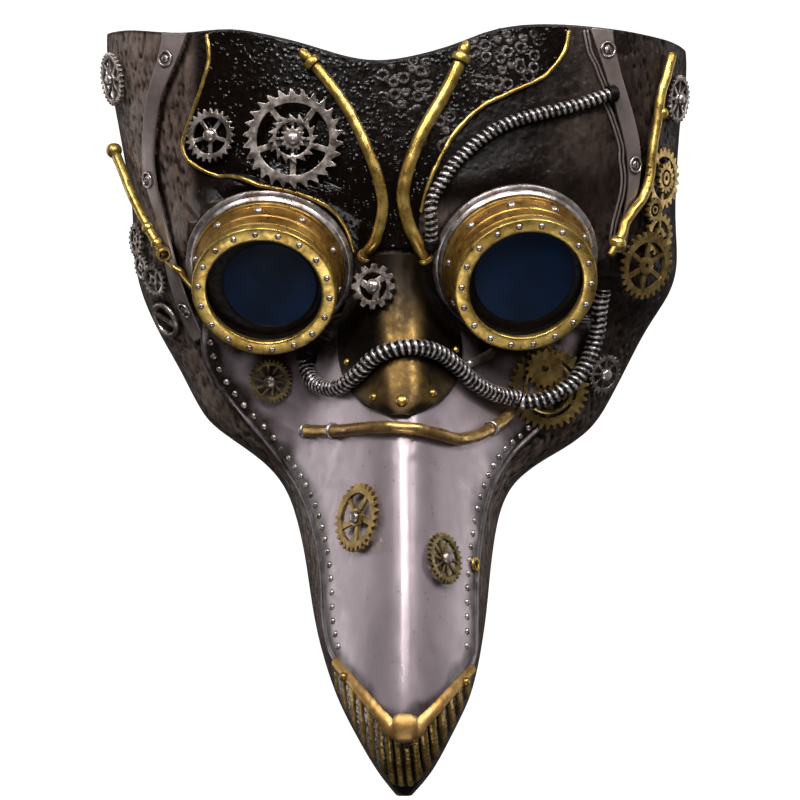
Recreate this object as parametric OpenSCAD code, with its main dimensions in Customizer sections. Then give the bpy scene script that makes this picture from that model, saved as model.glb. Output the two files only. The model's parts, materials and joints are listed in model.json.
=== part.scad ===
// Plague doctor mask: a hollow wearable shell with a long hooked beak, goggles,
// brass pipes, corrugated hoses and toothed wheels that turn on rivet pins.
// Millimetres. +Z is up, the face looks along -Y, and +X is at a viewer's right.
// The origin is midway between the eyes, on the plane of the temple rims.

/* [Shell] */
// Wall thickness of the face shell
shell_t = 2.8; // [2:0.1:3.2]
// Columns of facets across the shell
shell_cols = 42; // [32:2:46]
// Rows of facets down the shell
shell_rows = 42; // [36:1:46]

/* [Plates] */
// Thickness of the beak plate, the nose plate and the forehead panel
plate_t = 1.2; // [0.8:0.1:1.5]
// Gap between a plate and what it lies on
seat_gap = 0.3; // [0.2:0.05:0.4]
// How far trim and rivets are bedded into what they stand on
bed = 0.5; // [0.3:0.1:0.8]

/* [Goggles] */
// Outer radius of the pewter base ring
base_ring_r = 28.5; // [28:0.1:29]
// Outer radius of the brass bezel
bezel_r = 24.6; // [24:0.1:25]
// Radius of the bezel's clear opening
bezel_open_r = 19.5; // [18.5:0.1:20]
// Radius of the lens
lens_r = 20.6; // [20.2:0.1:20.8]
// Height of the bezel's front face above the seat
goggle_h = 21; // [19:0.5:22]
// How far the goggles point down from straight ahead, degrees
goggle_pitch = 30; // [28:1:32]

/* [Wheels] */
// Thickness of a toothed wheel
wheel_t = 1.4; // [1:0.1:1.6]
// Radius of the pin that a wheel turns on
pin_r = 1.1; // [0.9:0.1:1.3]
// Radial running clearance between a wheel and its pin
pin_fit = 0.08; // [0.04:0.01:0.1]
// Clear space between a wheel and its pin's shoulder and head
wheel_play = 0.3; // [0.2:0.05:0.4]

/* [Fastening] */
// Radius of the hole in each tie lug
tie_hole_r = 2.2; // [2:0.1:2.5]
// Radius of the hole in the hanger tab
hang_hole_r = 2.5; // [2:0.1:3]

/* [Hidden] */

// Colours.
DARK = "#2b2220";
BLACK = "#120f0e";
BRASS = "#b08a3c";
OLD_BRASS = "#8a7a42";
STEEL = "#b4a9ac";
PEWTER = "#a79a97";
GREY = "#8f8480";
BLUE = "#16202e";

// ---- Outline and depth of the face, each a list of [height z, value] ----
LEFT_EDGE = [[-173, 1.4], [-165, 8.2], [-151, 16.6], [-138, 22.8], [-117, 28.6], [-90, 32.5],
    [-76, 35.7], [-68, 39], [-62, 43.8], [-56, 51.3], [-49, 62.6], [-42, 67.8], [-29, 74.5],
    [-15, 82.4], [-2, 88], [12, 90.8], [26, 91], [53, 95.5], [76, 99.6], [90, 99.8]];
RIGHT_EDGE = [[-173, 1.4], [-165, 8.8], [-151, 16.6], [-138, 23.1], [-117, 28.1], [-90, 31.8],
    [-76, 34.9], [-68, 39], [-62, 45.2], [-56, 57], [-49, 66.2], [-42, 71], [-29, 77.9],
    [-15, 85.2], [-2, 93.6], [7, 95.8], [26, 95.2], [53, 96.6], [76, 99], [90, 98.6]];
TOP_EDGE = [[-100, 86.4], [-92, 86.8], [-74, 85.3], [-56, 86.4], [-36, 82.5], [-9, 75.4],
    [15, 79.6], [32, 86], [48, 88], [72, 86.7], [90, 83.8], [96, 82], [100, 79.5]];
// Sideways place of the face's middle, which the two edges are measured from.
MIDDLE = [[-173, 2], [-150, 2], [-120, 1.2], [-90, 0.5], [-60, 0], [90, 0]];
// Depth of the rim behind which the head lies.
RIM = [[-173, 66], [-150, 54], [-120, 42], [-90, 30], [-75, 22], [-60, 12], [-45, 5],
    [-25, 1], [-10, 0], [90, 0]];
// Depth of the broad face, without nose and beak.
FACE = [[-173, 60], [-90, 32], [-60, 28], [-40, 28.5], [-20, 32], [0, 42], [20, 51],
    [35, 55], [60, 53], [90, 49]];
// Depth of the nose and beak along their ridge.
RIDGE = [[-173, 76], [-166, 86], [-158, 94], [-149, 99.5], [-138, 100], [-120, 96.5],
    [-90, 88.5], [-60, 79.5], [-42, 74], [-30, 69], [-15, 62], [0, 56.5], [12, 54],
    [28, 51], [60, 44], [90, 40]];
// Side slope of the nose and beak, and the radius that rounds the ridge.
FLANK = [[-173, 0.8], [-140, 1.35], [-90, 1.55], [-60, 1.6], [-30, 1.65], [0, 1.5],
    [20, 1], [45, 0.5], [90, 0.5]];
RIDGE_R = [[-173, 5], [-150, 7], [-90, 7], [-60, 8], [-30, 9], [0, 10], [40, 14], [90, 14]];
// Sideways place of the ridge, and how square the section is near its rim.
RIDGE_X = [[-173, 2], [-120, 2.4], [-60, 2], [0, 0.5], [90, 0]];
SQUARE = [[-173, 4], [-150, 6], [-90, 8], [-60, 6], [-30, 4], [0, 3.2], [20, 3], [90, 3]];
TOP_ROWS_FROM = 58;
TIP_Z = -171.5;

// ---- Goggle seats: [centre x, centre z, depth, sideways aim, downward aim] ----
LEFT_SEAT = [-43.2, 7.5, 41.5, -6, goggle_pitch];
RIGHT_SEAT = [39.3, 8.5, 42, 12, goggle_pitch - 4];
SEAT_FLAT = 30.6;
SEAT_FADE = 6.5;

// ---- Plate outlines, each a list of [height z, side x] ----
BEAK_PLATE_LEFT = [[-149, -0.5], [-145, -4.5], [-139, -10.5], [-132, -16.5], [-125, -21.4],
    [-114, -24.1], [-100, -24.8], [-88, -26.5], [-76, -30], [-66, -35], [-55, -43.5],
    [-46, -52], [-36, -59.8], [-26, -65], [-20, -66.5]];
BEAK_PLATE_RIGHT = [[-149, 4.5], [-145, 9], [-139, 15.5], [-132, 21.5], [-125, 25.2],
    [-114, 25.5], [-100, 25.8], [-88, 27], [-76, 29], [-66, 32.5], [-58, 38],
    [-52, 45.5], [-44, 54], [-34, 61], [-26, 65], [-20, 66.5]];
NOSE_LEFT = [[-45, -1], [-43.5, -6], [-40, -11], [-34, -15.5], [-24, -18], [-14, -17.5],
    [-6, -14], [2, -10.5], [10, -7]];
NOSE_RIGHT = [[-45, 3], [-43.5, 8], [-40, 13], [-34, 17.5], [-24, 19.5], [-14, 18],
    [-6, 14], [2, 11], [10, 8]];
PANEL_LEFT = [[12, -15.5], [20, -18], [26, -23], [30.5, -33], [33.5, -47], [36.5, -60],
    [41, -69], [47, -72], [56, -69.5], [66, -66], [76, -63.4], [88, -64.5]];
PANEL_RIGHT = [[12, 5.5], [24, 7.5], [33, 9.5], [43, 14.3], [51, 19.4], [59, 28],
    [64.5, 38], [70, 49], [78, 55.5], [88, 57.5]];

// ---- Routes of pipes, wires, straps and hoses, each [x, z, height above the shell] ----
LEFT_WIRE = [[-64.3, 84.5, 1.1], [-63.4, 76, 1.1], [-66, 66, 1.1], [-69.5, 56, 1.1],
    [-72, 47, 1.1], [-69, 41, 1.1], [-60, 36.5, 1.1], [-47, 33.8, 1.1], [-33, 30.8, 1.1],
    [-23, 26, 1.1], [-17.5, 19.5, 1.1], [-14.5, 11, 1.1]];
RIGHT_WIRE = [[57.5, 85.8, 1.1], [55.6, 78, 1.1], [49, 70, 1.1], [38, 64.6, 1.1],
    [28, 59.5, 1.1], [19.4, 51, 1.1], [14.3, 42.5, 1.1], [10, 33, 1.1], [7.6, 24, 1.1]];
LEFT_BROW_PIPE = [[-28.6, 74, 3], [-25.8, 70.7, 3], [-18, 60.2, 3], [-12.2, 49.3, 3],
    [-7.8, 39, 3], [-5.3, 30.6, 3], [-4.9, 23.8, 3], [-6.6, 14.5, 3], [-8.6, 9.4, 3]];
RIGHT_BROW_PIPE = [[21, 75.4, 3], [19.4, 71.4, 3], [15.3, 63, 3], [10.2, 54.4, 3],
    [6.1, 46, 3], [3, 37.4, 3], [1.7, 30.6, 3], [2.4, 23.8, 3], [4.6, 15.3, 3], [6.6, 9, 3]];
LEFT_STRAP = [[-75.2, 86, 0], [-76.4, 80, 0], [-79, 72.6, 0], [-82.4, 63, 0], [-83.8, 52.7, 0],
    [-84.2, 42.5, 0], [-82.8, 33, 0], [-79.8, 22, 0], [-77, 10, 0], [-74.6, 0, 0],
    [-71, -10, 0], [-67.2, -18, 0]];
RIGHT_STRAP = [[68.4, 87, 0], [69.4, 82, 0], [71, 76, 0], [73.8, 66.3, 0], [76.8, 56, 0],
    [79, 46, 0], [79.4, 36, 0], [78, 27, 0], [76, 18, 0], [75, 11, 0]];
LEFT_TEMPLE_PIPE = [[-93.2, 45.6, 3.4], [-91, 39.5, 3], [-88.4, 32.5, 3], [-84.6, 24.4, 3],
    [-80.5, 16, 3], [-76.5, 10.5, 3]];
RIGHT_TEMPLE_PIPE = [[92, 79, 1.8], [90, 71.4, 1.8], [88, 64.6, 1.8], [86.7, 56, 1.8],
    [85, 46, 1.8], [84, 37.4, 2], [81.4, 30, 2.6], [77.6, 25.4, 3.2], [73.6, 20, 4.5],
    [71.4, 15.5, 6]];
UPPER_HOSE = [[71, 64.2, 2.5], [68.7, 63.6, 2.5], [60.2, 60.5, 2.2], [50, 57.8, 2.2], [39.8, 55, 2.2],
    [31.3, 51, 2.2], [23, 44.4, 2.2], [16.5, 37.4, 2.6], [12.6, 28.9, 3], [11, 21, 3.2],
    [10.4, 15, 3.4]];
LOWER_HOSE = [[-28.4, -24.6, 4], [-28.2, -27.5, 4], [-26.6, -32, 4], [-22.8, -35.4, 4], [-16.3, -35.6, 4.2],
    [-9.5, -31.2, 5], [-4.4, -26.4, 5.4], [2.4, -23.6, 5.4], [9.2, -24.7, 5.4],
    [15.6, -28.9, 5.2], [22, -34.6, 5], [29.6, -38.6, 5.5], [38, -39.8, 8],
    [46.6, -38.4, 9.5], [54.2, -34, 9.5], [60, -27.4, 7.4], [64.2, -19.6, 4.8],
    [67.4, -11, 3.4], [69.4, -3, 3.4], [70.2, 2, 3.4]];
MOUTH_PIPE = [[-28.9, -50, 3.1], [-19.4, -50, 3.1], [-6.1, -48.8, 3.1], [2.4, -49.3, 3.1],
    [10.9, -51, 3.1], [17.7, -52.7, 3.1], [23.8, -51.7, 3.1], [29, -49.2, 3.1],
    [33, -46.6, 3.1], [36.5, -43.4, 3.1]];
LIP = [[-18.8, -125.2, 1.4], [-16.6, -130, 1.6], [-12.8, -135.6, 1.8], [-7.8, -140.6, 2.2],
    [-2.8, -144.6, 2.6], [2.2, -146.8, 2.8], [7.4, -144.6, 2.6], [13, -140.2, 2.2],
    [18.4, -135, 1.8], [21.8, -130.6, 1.6], [23.2, -126.8, 1.4]];
CHEEK_BAR = [[22, -27.6, 1.9], [26.6, -25.6, 1.9], [31.6, -23, 1.9]];
MOUTH_PIPE_R = 2.1;
TEMPLE_PIPE_R = 1.7;
BROW_PIPE_R = 1.9;
WIRE_R = 0.75;
UPPER_HOSE_R = 2.1;
LOWER_HOSE_R = 2.7;

// ---- Wheels: [x, z, height of the wheel's back face above the shell, and how far it is
// turned from square to the shell, 0, to facing straight ahead, 1] ----
SMALL_AT = [-61.9, 50, 2.6];
LARGE_AT = [-35.2, 48.6, 5.9, 0.9];
NOSE_AT = [-6, -1.6, 5.9, 0.5];
LEFT_CHEEK_AT = [-42.5, -32.3, 3.2];
RIGHT_CHEEK_AT = [68.6, -29.6, 2];
LEFT_BEAK_AT = [-10.6, -79, 3.1];
RIGHT_BEAK_AT = [12.6, -92.6, 3.1];
LEFT_TEMPLE_AT = [-95.3, 70.5, 1.6];
RIGHT_TEMPLE_AT = [93.4, 63.6, 1.6];
WHEELS = [SMALL_AT, LARGE_AT, NOSE_AT, LEFT_CHEEK_AT, RIGHT_CHEEK_AT, LEFT_BEAK_AT,
    RIGHT_BEAK_AT, LEFT_TEMPLE_AT, RIGHT_TEMPLE_AT];
SMALL_R = 9.2;
LARGE_R = 17;

// ---- Details ----
TOP_ROWS = 5;
SOCKET_R = 24;
BARREL_Z = 4.3;
BEZEL_Z = goggle_h - 3.4;
LENS_Z = 13.4;
BEZEL_RIVETS = 18;
BARREL_RIVETS = 10;
STRAP_T = 1;
LEFT_STRAP_W = [[0, 8.6], [0.12, 6.4], [0.25, 4.8], [0.4, 4], [0.52, 3.6], [0.62, 2.6],
    [0.75, 3.4], [1, 4]];
RIGHT_STRAP_W = [[0, 7.6], [0.12, 6.2], [0.3, 5], [0.5, 5], [0.65, 4], [0.78, 2.6], [1, 3.2]];
STRAP_SCREWS = [[-78, 76.5], [-83.9, 35.9], [-71.6, -7.8], [70.4, 79.3], [79.4, 40.6]];
LEFT_PIPE_LUMPS = [[-82.4, 19.6, 3], [-79.2, 14.2, 3]];
RIGHT_PIPE_LUMPS = [[87.9, 58.4, 2.2]];
NOSE_H = 2 * seat_gap + plate_t;
NOSE_RIVETS = [[1.4, -40.4, 2.1], [-6.2, -38.8, 1.4], [9.6, -37.6, 1.4], [-14.8, -27, 1.2],
    [17.2, -23, 1.2]];
RIVET_STEP = 5;
MOUTH_RING_AT = [3, 21];
LIP_R = 2.2;
LIP_X = 2.2;
NUB_R = 2.2;
LIP_RIVETS = [[-15.6, -131.6, 3.2], [20, -133.2, 3.2]];
JAW_TOP = [[-21, -127], [-12, -137], [-6, -143], [2.2, -149], [9, -144], [15, -138.5], [23, -129.5]];
JAW_RIM = [[-21, -131], [-18, -138.5], [-13, -148.5], [-8, -156.5], [-4, -162.5], [0, -167.5],
    [2.2, -169.5], [5, -167.5], [9, -162], [14, -152.5], [19, -142.5], [23.4, -132]];
JAW_BARS = 14;
JAW_PITCH = 2.8;
LUG_X = 82.5;
LUG_DEPTH = 4.5;
LUG_Z = 24;
LUG_T = 2.4;
LUG_R = 5;
LUG_REACH = 7;
HANG_DEPTH = 38;
HANG_Z = 62;
HANG_R = 6;
HANG_DROP = 12;
HANG_FOOT = 8;

// ---- Curves ----
function span(p, t, i = 0) = i >= len(p) - 2 || t < p[i + 1][0] ? i : span(p, t, i + 1);
function rise(p, i) = let (a = max(i - 1, 0), b = min(i + 1, len(p) - 1))
    (p[b][1] - p[a][1]) / (p[b][0] - p[a][0]);
function cubic(a, b, ra, rb, s) = (2 * s ^ 3 - 3 * s ^ 2 + 1) * a + (s ^ 3 - 2 * s ^ 2 + s) * ra
    + (3 * s ^ 2 - 2 * s ^ 3) * b + (s ^ 3 - s ^ 2) * rb;
// The value at key t of a smooth curve through a list of [key, value].
function along(p, t) = let (
    i = span(p, t),
    h = p[i + 1][0] - p[i][0],
    s = min(max((t - p[i][0]) / h, 0), 1)
) cubic(p[i][1], p[i + 1][1], rise(p, i) * h, rise(p, i + 1) * h, s);
// A smooth line through points, with n steps between neighbours.
function tangent(p, i) = (p[min(i + 1, len(p) - 1)] - p[max(i - 1, 0)]) / 2;
function smooth_line(p, n) = [
    for (i = [0:len(p) - 2], k = [0:n - 1])
        cubic(p[i], p[i + 1], tangent(p, i), tangent(p, i + 1), k / n),
    p[len(p) - 1],
];
function fade(t) = let (s = min(max(t, 0), 1)) s * s * (3 - 2 * s);
function blend_max(a, b, k) = (a + b + sqrt((a - b) ^ 2 + k ^ 2)) / 2;
function unit(v) = v / norm(v);

// ---- The face's surface ----
function aim(seat) = [
    sin(seat[3]) * cos(seat[4]), -cos(seat[3]) * cos(seat[4]), -sin(seat[4]),
];
function seat_plane(seat, x, z) = let (a = aim(seat))
    seat[2] + (a.x * (x - seat[0]) + a.z * (z - seat[1])) / a.y;
function seat_weight(seat, x, z) =
    1 - fade((norm([x - seat[0], (z - seat[1]) / cos(seat[4])]) - SEAT_FLAT) / SEAT_FADE);
function half_width(side, z) = along(side < 0 ? LEFT_EDGE : RIGHT_EDGE, z);
function open_face(x, z) = let (
    off = x - along(MIDDLE, z),
    t = min(abs(off) / half_width(off, z), 1),
    r = along(RIDGE_R, z),
    keel = along(RIDGE, z) - along(FLANK, z) * (norm([x - along(RIDGE_X, z), r]) - r),
    rim = along(RIM, z)
) rim + (blend_max(along(FACE, z), keel, 6) - rim) * sqrt(1 - t ^ along(SQUARE, z));
// How far the shell's front face lies in front of the plane y = 0.
function depth(x, z) = let (
    seat = x < 0 ? LEFT_SEAT : RIGHT_SEAT,
    w = seat_weight(seat, x, z)
) w * seat_plane(seat, x, z) + (1 - w) * open_face(x, z);
function normal(x, z, e = 0.4) = unit([
    (depth(x - e, z) - depth(x + e, z)) / (2 * e), -1,
    (depth(x, z - e) - depth(x, z + e)) / (2 * e),
]);
// The point h above the shell's front face at (x, z).
function lift(x, z, h) = [x, -depth(x, z), z] + h * normal(x, z);
function route(r, n) = [for (p = smooth_line(r, n)) lift(p[0], p[1], p[2])];

// ---- Solids from point grids and routes ----
// A closed solid between a front grid and a back grid of the same size.
module slab(front, back) {
    nr = len(front);
    nc = len(front[0]);
    function at(side, i, j) = side * nr * nc + i * nc + j;
    function flip(f, on) = on ? [f[2], f[1], f[0]] : f;
    faces = [
        for (side = [0, 1], i = [0:nr - 2], j = [0:nc - 2]) each [
            flip([at(side, i, j), at(side, i, j + 1), at(side, i + 1, j + 1)], side == 1),
            flip([at(side, i, j), at(side, i + 1, j + 1), at(side, i + 1, j)], side == 1),
        ],
        for (e = [0, 1], j = [0:nc - 2]) let (i = e * (nr - 1)) each [
            flip([at(1, i, j), at(1, i, j + 1), at(0, i, j + 1)], e == 1),
            flip([at(1, i, j), at(0, i, j + 1), at(0, i, j)], e == 1),
        ],
        for (e = [0, 1], i = [0:nr - 2]) let (j = e * (nc - 1)) each [
            flip([at(0, i, j), at(0, i + 1, j), at(1, i + 1, j)], e == 1),
            flip([at(0, i, j), at(1, i + 1, j), at(1, i, j)], e == 1),
        ],
    ];
    polyhedron([each for (r = front) r, each for (r = back) r], faces);
}

// A tube with closed ends along points, with a radius at each.
module tube(points, radii, sides, flat = 1) {
    n = len(points);
    rings = [
        for (i = [0:n - 1])
            let (
                t = unit(points[min(i + 1, n - 1)] - points[max(i - 1, 0)]),
                s = unit(cross(t, [0, 1, 0])),
                u = cross(s, t)
            )
            [for (k = [0:sides - 1]) let (a = 360 * k / sides)
                points[i] + radii[i] * (cos(a) * s + sin(a) * flat * u)],
    ];
    faces = [
        [for (k = [0:sides - 1]) sides - 1 - k],
        for (i = [0:n - 2], k = [0:sides - 1]) let (
            a = i * sides + k,
            b = i * sides + (k + 1) % sides
        ) each [[a, b + sides, a + sides], [a, b, b + sides]],
        [for (k = [0:sides - 1]) (n - 1) * sides + k],
    ];
    polyhedron([each for (r = rings) r], faces);
}

module pipe_on(r, n, radius, sides) {
    line = route(r, n);
    tube(line, [for (p = line) radius], sides);
}

// A plate of even thickness over the shell, between two side outlines.
module plate(left, right, z0, z1, rows, cols, h, t) {
    grid = [
        for (i = [0:rows]) let (z = z1 + (z0 - z1) * i / rows)
            [for (j = [0:cols]) let (l = along(left, z), r = along(right, z))
                [l + (r - l) * j / cols, z]],
    ];
    slab([for (row = grid) [for (p = row) lift(p.x, p.y, h + t)]],
        [for (row = grid) [for (p = row) lift(p.x, p.y, h)]]);
}

// A flat band of width w(s) that follows a route over the shell.
module band(r, n, widths, h, t) {
    line = smooth_line(r, n);
    last = len(line) - 1;
    across = [
        for (i = [0:last])
            let (
                d = line[min(i + 1, last)] - line[max(i - 1, 0)],
                side = unit([-d[1], d[0]]),
                w = along(widths, i / last) / 2
            )
            [for (k = [-1:1]) [line[i][0] + k * w * side.x, line[i][1] + k * w * side.y]],
    ];
    slab([for (row = across) [for (p = row) lift(p.x, p.y, h + t)]],
        [for (row = across) [for (p = row) lift(p.x, p.y, h)]]);
}

// Puts children at point p with their +Z along direction n.
module point_along(p, n) {
    translate(p) rotate([0, acos(n.z), atan2(n.y, n.x)]) children();
}
module on_face(x, z, h) {
    point_along(lift(x, z, h), normal(x, z)) children();
}
module on_wheel(at, h = 0) {
    n = normal(at[0], at[1]);
    facing = len(at) > 3 ? at[3] : 0;
    axis = unit(n * (1 - facing) + [0, -facing, 0]);
    point_along(lift(at[0], at[1], 0) + (at[2] + h) * axis, axis) children();
}
module at_seat(seat) {
    point_along([seat[0], -seat[2], seat[1]], aim(seat)) children();
}

// ---- Fasteners and toothed wheels ----
// A dome-headed rivet that stands on z = 0, with its base bedded below it.
module rivet(r, h, arcs = 4) {
    rotate_extrude($fn = 32) polygon([
        [0, -bed], [r, -bed],
        for (k = [0:arcs]) [r * cos(90 * k / arcs), h * sin(90 * k / arcs)],
    ]);
}
// A screw head with a slot.
module slotted_head(r, h) {
    difference() {
        rivet(r, h);
        translate([-r, -0.25, h - 0.5]) cube([2 * r, 0.5, 1]);
    }
}
// A ring of round section, or an oval section when h differs from 2 * w.
module bead_ring(r, w, h, sides = 10) {
    rotate_extrude($fn = 48) polygon([
        for (k = [0:sides - 1]) [r + w * cos(360 * k / sides), h / 2 * (1 + sin(360 * k / sides))],
    ]);
}
// The outline of a toothed rim. Lean tips the teeth forward; tip is their width at the top.
function tooth_ring(r, root, n, tip = 0.12, lean = 0, foot = 0.36) = [
    for (i = [0:n - 1], c = [[root, -foot], [r, lean - tip], [r, lean + tip], [root, foot]])
        let (a = 360 * (i + c[1]) / n) c[0] * [cos(a), sin(a)],
];
// A spoked, toothed wheel whose back face is on z = 0.
module wheel(r, root, teeth, rim, spokes, spoke_w, hub, tip = 0.12, lean = 0, swirl = 0,
        t = wheel_t, bore = pin_r + pin_fit) {
    inner = root - rim;
    difference() {
        union() {
            linear_extrude(t) difference() {
                polygon(tooth_ring(r, root, teeth, tip, lean));
                circle(inner, $fn = 48);
            }
            if (spokes > 0)
                linear_extrude(t * 0.75) for (i = [0:spokes - 1])
                    rotate(360 * i / spokes) translate([0, swirl - spoke_w / 2])
                        square([inner + rim * 0.4, spoke_w]);
            cylinder(h = t, r = hub, $fn = 32);
        }
        translate([0, 0, -1]) cylinder(h = t + 2, r = bore, $fn = 32);
    }
}
// A fixed wheel on a short post that stands on the shell.
module set_wheel(x, z, h, post = 1.5) {
    on_face(x, z, h) {
        children();
        translate([0, 0, -h - bed]) cylinder(h = h + bed + 0.2, r = post, $fn = 24);
    }
}

// ---- Shell ----
function column(j) = let (u = 2 * j / shell_cols - 1) sign(u) * sin(90 * abs(u));
function shell_point(i, j) = let (
    below = (i - TOP_ROWS) / (shell_rows - TOP_ROWS),
    above = 1 - i / TOP_ROWS,
    z0 = i < TOP_ROWS ? TOP_ROWS_FROM + 28 * above
        : TOP_ROWS_FROM + (TIP_Z - TOP_ROWS_FROM) * below,
    x = along(MIDDLE, z0) + column(j) * half_width(column(j), z0),
    z = i < TOP_ROWS ? TOP_ROWS_FROM + (along(TOP_EDGE, x) - TOP_ROWS_FROM) * above : z0
) abs(j * 2 - shell_cols) == shell_cols ? [x, -along(RIM, z), z] : [x, -depth(x, z), z];
function out_of(g, i, j) = unit(cross(
    g[min(i + 1, len(g) - 1)][j] - g[max(i - 1, 0)][j],
    g[i][min(j + 1, len(g[0]) - 1)] - g[i][max(j - 1, 0)]
));
module face_shell() {
    front = [for (i = [0:shell_rows]) [for (j = [0:shell_cols]) shell_point(i, j)]];
    back = [
        for (i = [0:shell_rows]) let (t = min(shell_t, 0.3 * half_width(1, front[i][0].z)))
            [for (j = [0:shell_cols]) front[i][j] - t * out_of(front, i, j)],
    ];
    color(DARK) difference() {
        slab(front, back);
        for (seat = [LEFT_SEAT, RIGHT_SEAT])
            at_seat(seat) translate([0, 0, -30])
                cylinder(h = 60, r = SOCKET_R + 0.1, $fn = 64);
    }
}

// ---- Forehead ----
// Everything above a line that runs the given distance below the shell's top edge.
module above_top_edge(inset_by) {
    rotate([90, 0, 0]) translate([0, 0, -20]) linear_extrude(100) polygon([
        [-110, 120], for (x = [-100:8:100]) [x, along(TOP_EDGE, x) - inset_by], [110, 120],
    ]);
}
module forehead_panel() {
    color(BLACK) difference() {
        plate(PANEL_LEFT, PANEL_RIGHT, 12, 88, 18, 18, seat_gap, plate_t);
        above_top_edge(1);
    }
}
module left_gold_wire() { color(BRASS) pipe_on(LEFT_WIRE, 3, WIRE_R, 8); }
module right_gold_wire() { color(BRASS) pipe_on(RIGHT_WIRE, 3, WIRE_R, 8); }
module left_brow_pipe() { color(BRASS) pipe_on(LEFT_BROW_PIPE, 3, BROW_PIPE_R, 12); }
module right_brow_pipe() { color(BRASS) pipe_on(RIGHT_BROW_PIPE, 3, BROW_PIPE_R * 1.15, 12); }
// Puts children at the first or last point of a route, with +Z pointing out of its end.
module at_end(r, last = false) {
    p = route(last ? [for (i = [len(r) - 1:-1:0]) r[i]] : r, 3);
    point_along(p[0], unit(p[0] - p[1])) children();
}
module finial(r) {
    rotate_extrude($fn = 32) polygon([
        [0, -1], [r + 0.9, -1], [r + 1.1, 0.3], [r + 0.9, 1.4], [r - 0.2, 1.8], [r, 3],
        [r - 0.2, 4.6], [r - 0.9, 6], [0, 6.6],
    ]);
}
module collar(r, w, h) {
    rotate_extrude($fn = 32) polygon([
        [r, 0], [r + w * 0.7, 0], [r + w, h * 0.25], [r + w, h * 0.75], [r + w * 0.7, h], [r, h],
    ]);
}
module brow_pipe_fittings() {
    color(BRASS) {
        at_end(LEFT_BROW_PIPE) finial(BROW_PIPE_R);
        at_end(RIGHT_BROW_PIPE) finial(BROW_PIPE_R * 1.15);
        at_end(LEFT_BROW_PIPE, true) translate([0, 0, -1.6]) collar(BROW_PIPE_R, 0.9, 2);
        at_end(RIGHT_BROW_PIPE, true) translate([0, 0, -1.6]) collar(BROW_PIPE_R * 1.15, 0.9, 2);
    }
}

// ---- Temples ----
module left_temple_strap() {
    color(GREY) difference() {
        band(LEFT_STRAP, 2, LEFT_STRAP_W, seat_gap, STRAP_T);
        above_top_edge(0.5);
    }
}
module right_temple_strap() {
    color(GREY) difference() {
        band(RIGHT_STRAP, 2, RIGHT_STRAP_W, seat_gap, STRAP_T);
        above_top_edge(0.5);
    }
}
module strap_screws() {
    color(STEEL) for (p = STRAP_SCREWS)
        on_face(p.x, p.y, seat_gap + STRAP_T) slotted_head(1.5, 0.9);
}
module left_temple_pipe() { color(BRASS) pipe_on(LEFT_TEMPLE_PIPE, 3, TEMPLE_PIPE_R, 10); }
module right_temple_pipe() { color(BRASS) pipe_on(RIGHT_TEMPLE_PIPE, 3, TEMPLE_PIPE_R, 10); }
module temple_pipe_knobs() {
    color(BRASS) {
        at_end(LEFT_TEMPLE_PIPE) translate([0, 0, 1.6]) sphere(2.7, $fn = 32);
        at_end(LEFT_TEMPLE_PIPE, true) translate([0, 0, -1.2]) collar(TEMPLE_PIPE_R, 0.9, 2);
        for (p = LEFT_PIPE_LUMPS) translate(lift(p[0], p[1], p[2])) sphere(2.3, $fn = 32);
        for (p = RIGHT_PIPE_LUMPS) translate(lift(p[0], p[1], p[2])) sphere(2.3, $fn = 32);
        at_end(RIGHT_TEMPLE_PIPE, true) translate([0, 0, -1]) rotate_extrude($fn = 32) polygon([
            [0, -1], [2.5, -1], [3.1, 0.2], [3.1, 1.2], [2.2, 2.2], [1.2, 2.6], [1.2, 5.4], [0, 5.8],
        ]);
    }
}

// ---- Goggles: heights are along the goggle's own axis, from the shell's seat ----
module eye_socket(seat) {
    color(BLACK) at_seat(seat) rotate_extrude($fn = 64) polygon([
        [SOCKET_R - 2.6, -4.8], [SOCKET_R + 2.2, -4.8], [SOCKET_R + 2.2, -3.3],
        [SOCKET_R, -3.3], [SOCKET_R, 4.2], [SOCKET_R - 2.6, 4.2],
    ]);
}
module base_ring(seat) {
    color(PEWTER) at_seat(seat) rotate_extrude($fn = 64) polygon([
        [SOCKET_R + 0.05, 0.4], [base_ring_r - 0.6, 0.4], [base_ring_r, 1], [base_ring_r, 1.9],
        [base_ring_r - 0.8, 2.6], [base_ring_r - 1.6, 2.7], [base_ring_r - 1.9, 3.4],
        [base_ring_r - 2.6, 4], [SOCKET_R + 0.05, 4],
    ]);
}
module barrel(seat) {
    color(BRASS) at_seat(seat) rotate_extrude($fn = 64) polygon([
        [21.4, BARREL_Z], [25.7, BARREL_Z], [26, BARREL_Z + 0.6], [25.8, BARREL_Z + 1.4],
        [24.9, BARREL_Z + 1.9], [24.6, 11.4], [24.2, 11.7], [24.2, 12.4], [24.6, 12.7],
        [24.3, BEZEL_Z - 1.1], [23.7, BEZEL_Z - 0.7], [23.7, BEZEL_Z], [21.4, BEZEL_Z],
        [21.4, LENS_Z], [19.6, LENS_Z], [19.6, LENS_Z - 1.2], [21.4, LENS_Z - 2.4],
    ]);
}
module bezel(seat) {
    color(BRASS) at_seat(seat) rotate_extrude($fn = 64) polygon([
        [bezel_open_r + 0.6, BEZEL_Z], [bezel_r - 0.5, BEZEL_Z], [bezel_r, BEZEL_Z + 0.5],
        [bezel_r, goggle_h - 1.1], [bezel_r - 0.3, goggle_h - 0.5],
        [bezel_r - 1, goggle_h - 0.15], [bezel_open_r + 1, goggle_h],
        [bezel_open_r + 0.3, goggle_h - 0.2], [bezel_open_r, goggle_h - 0.7],
    ]);
}
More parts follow.
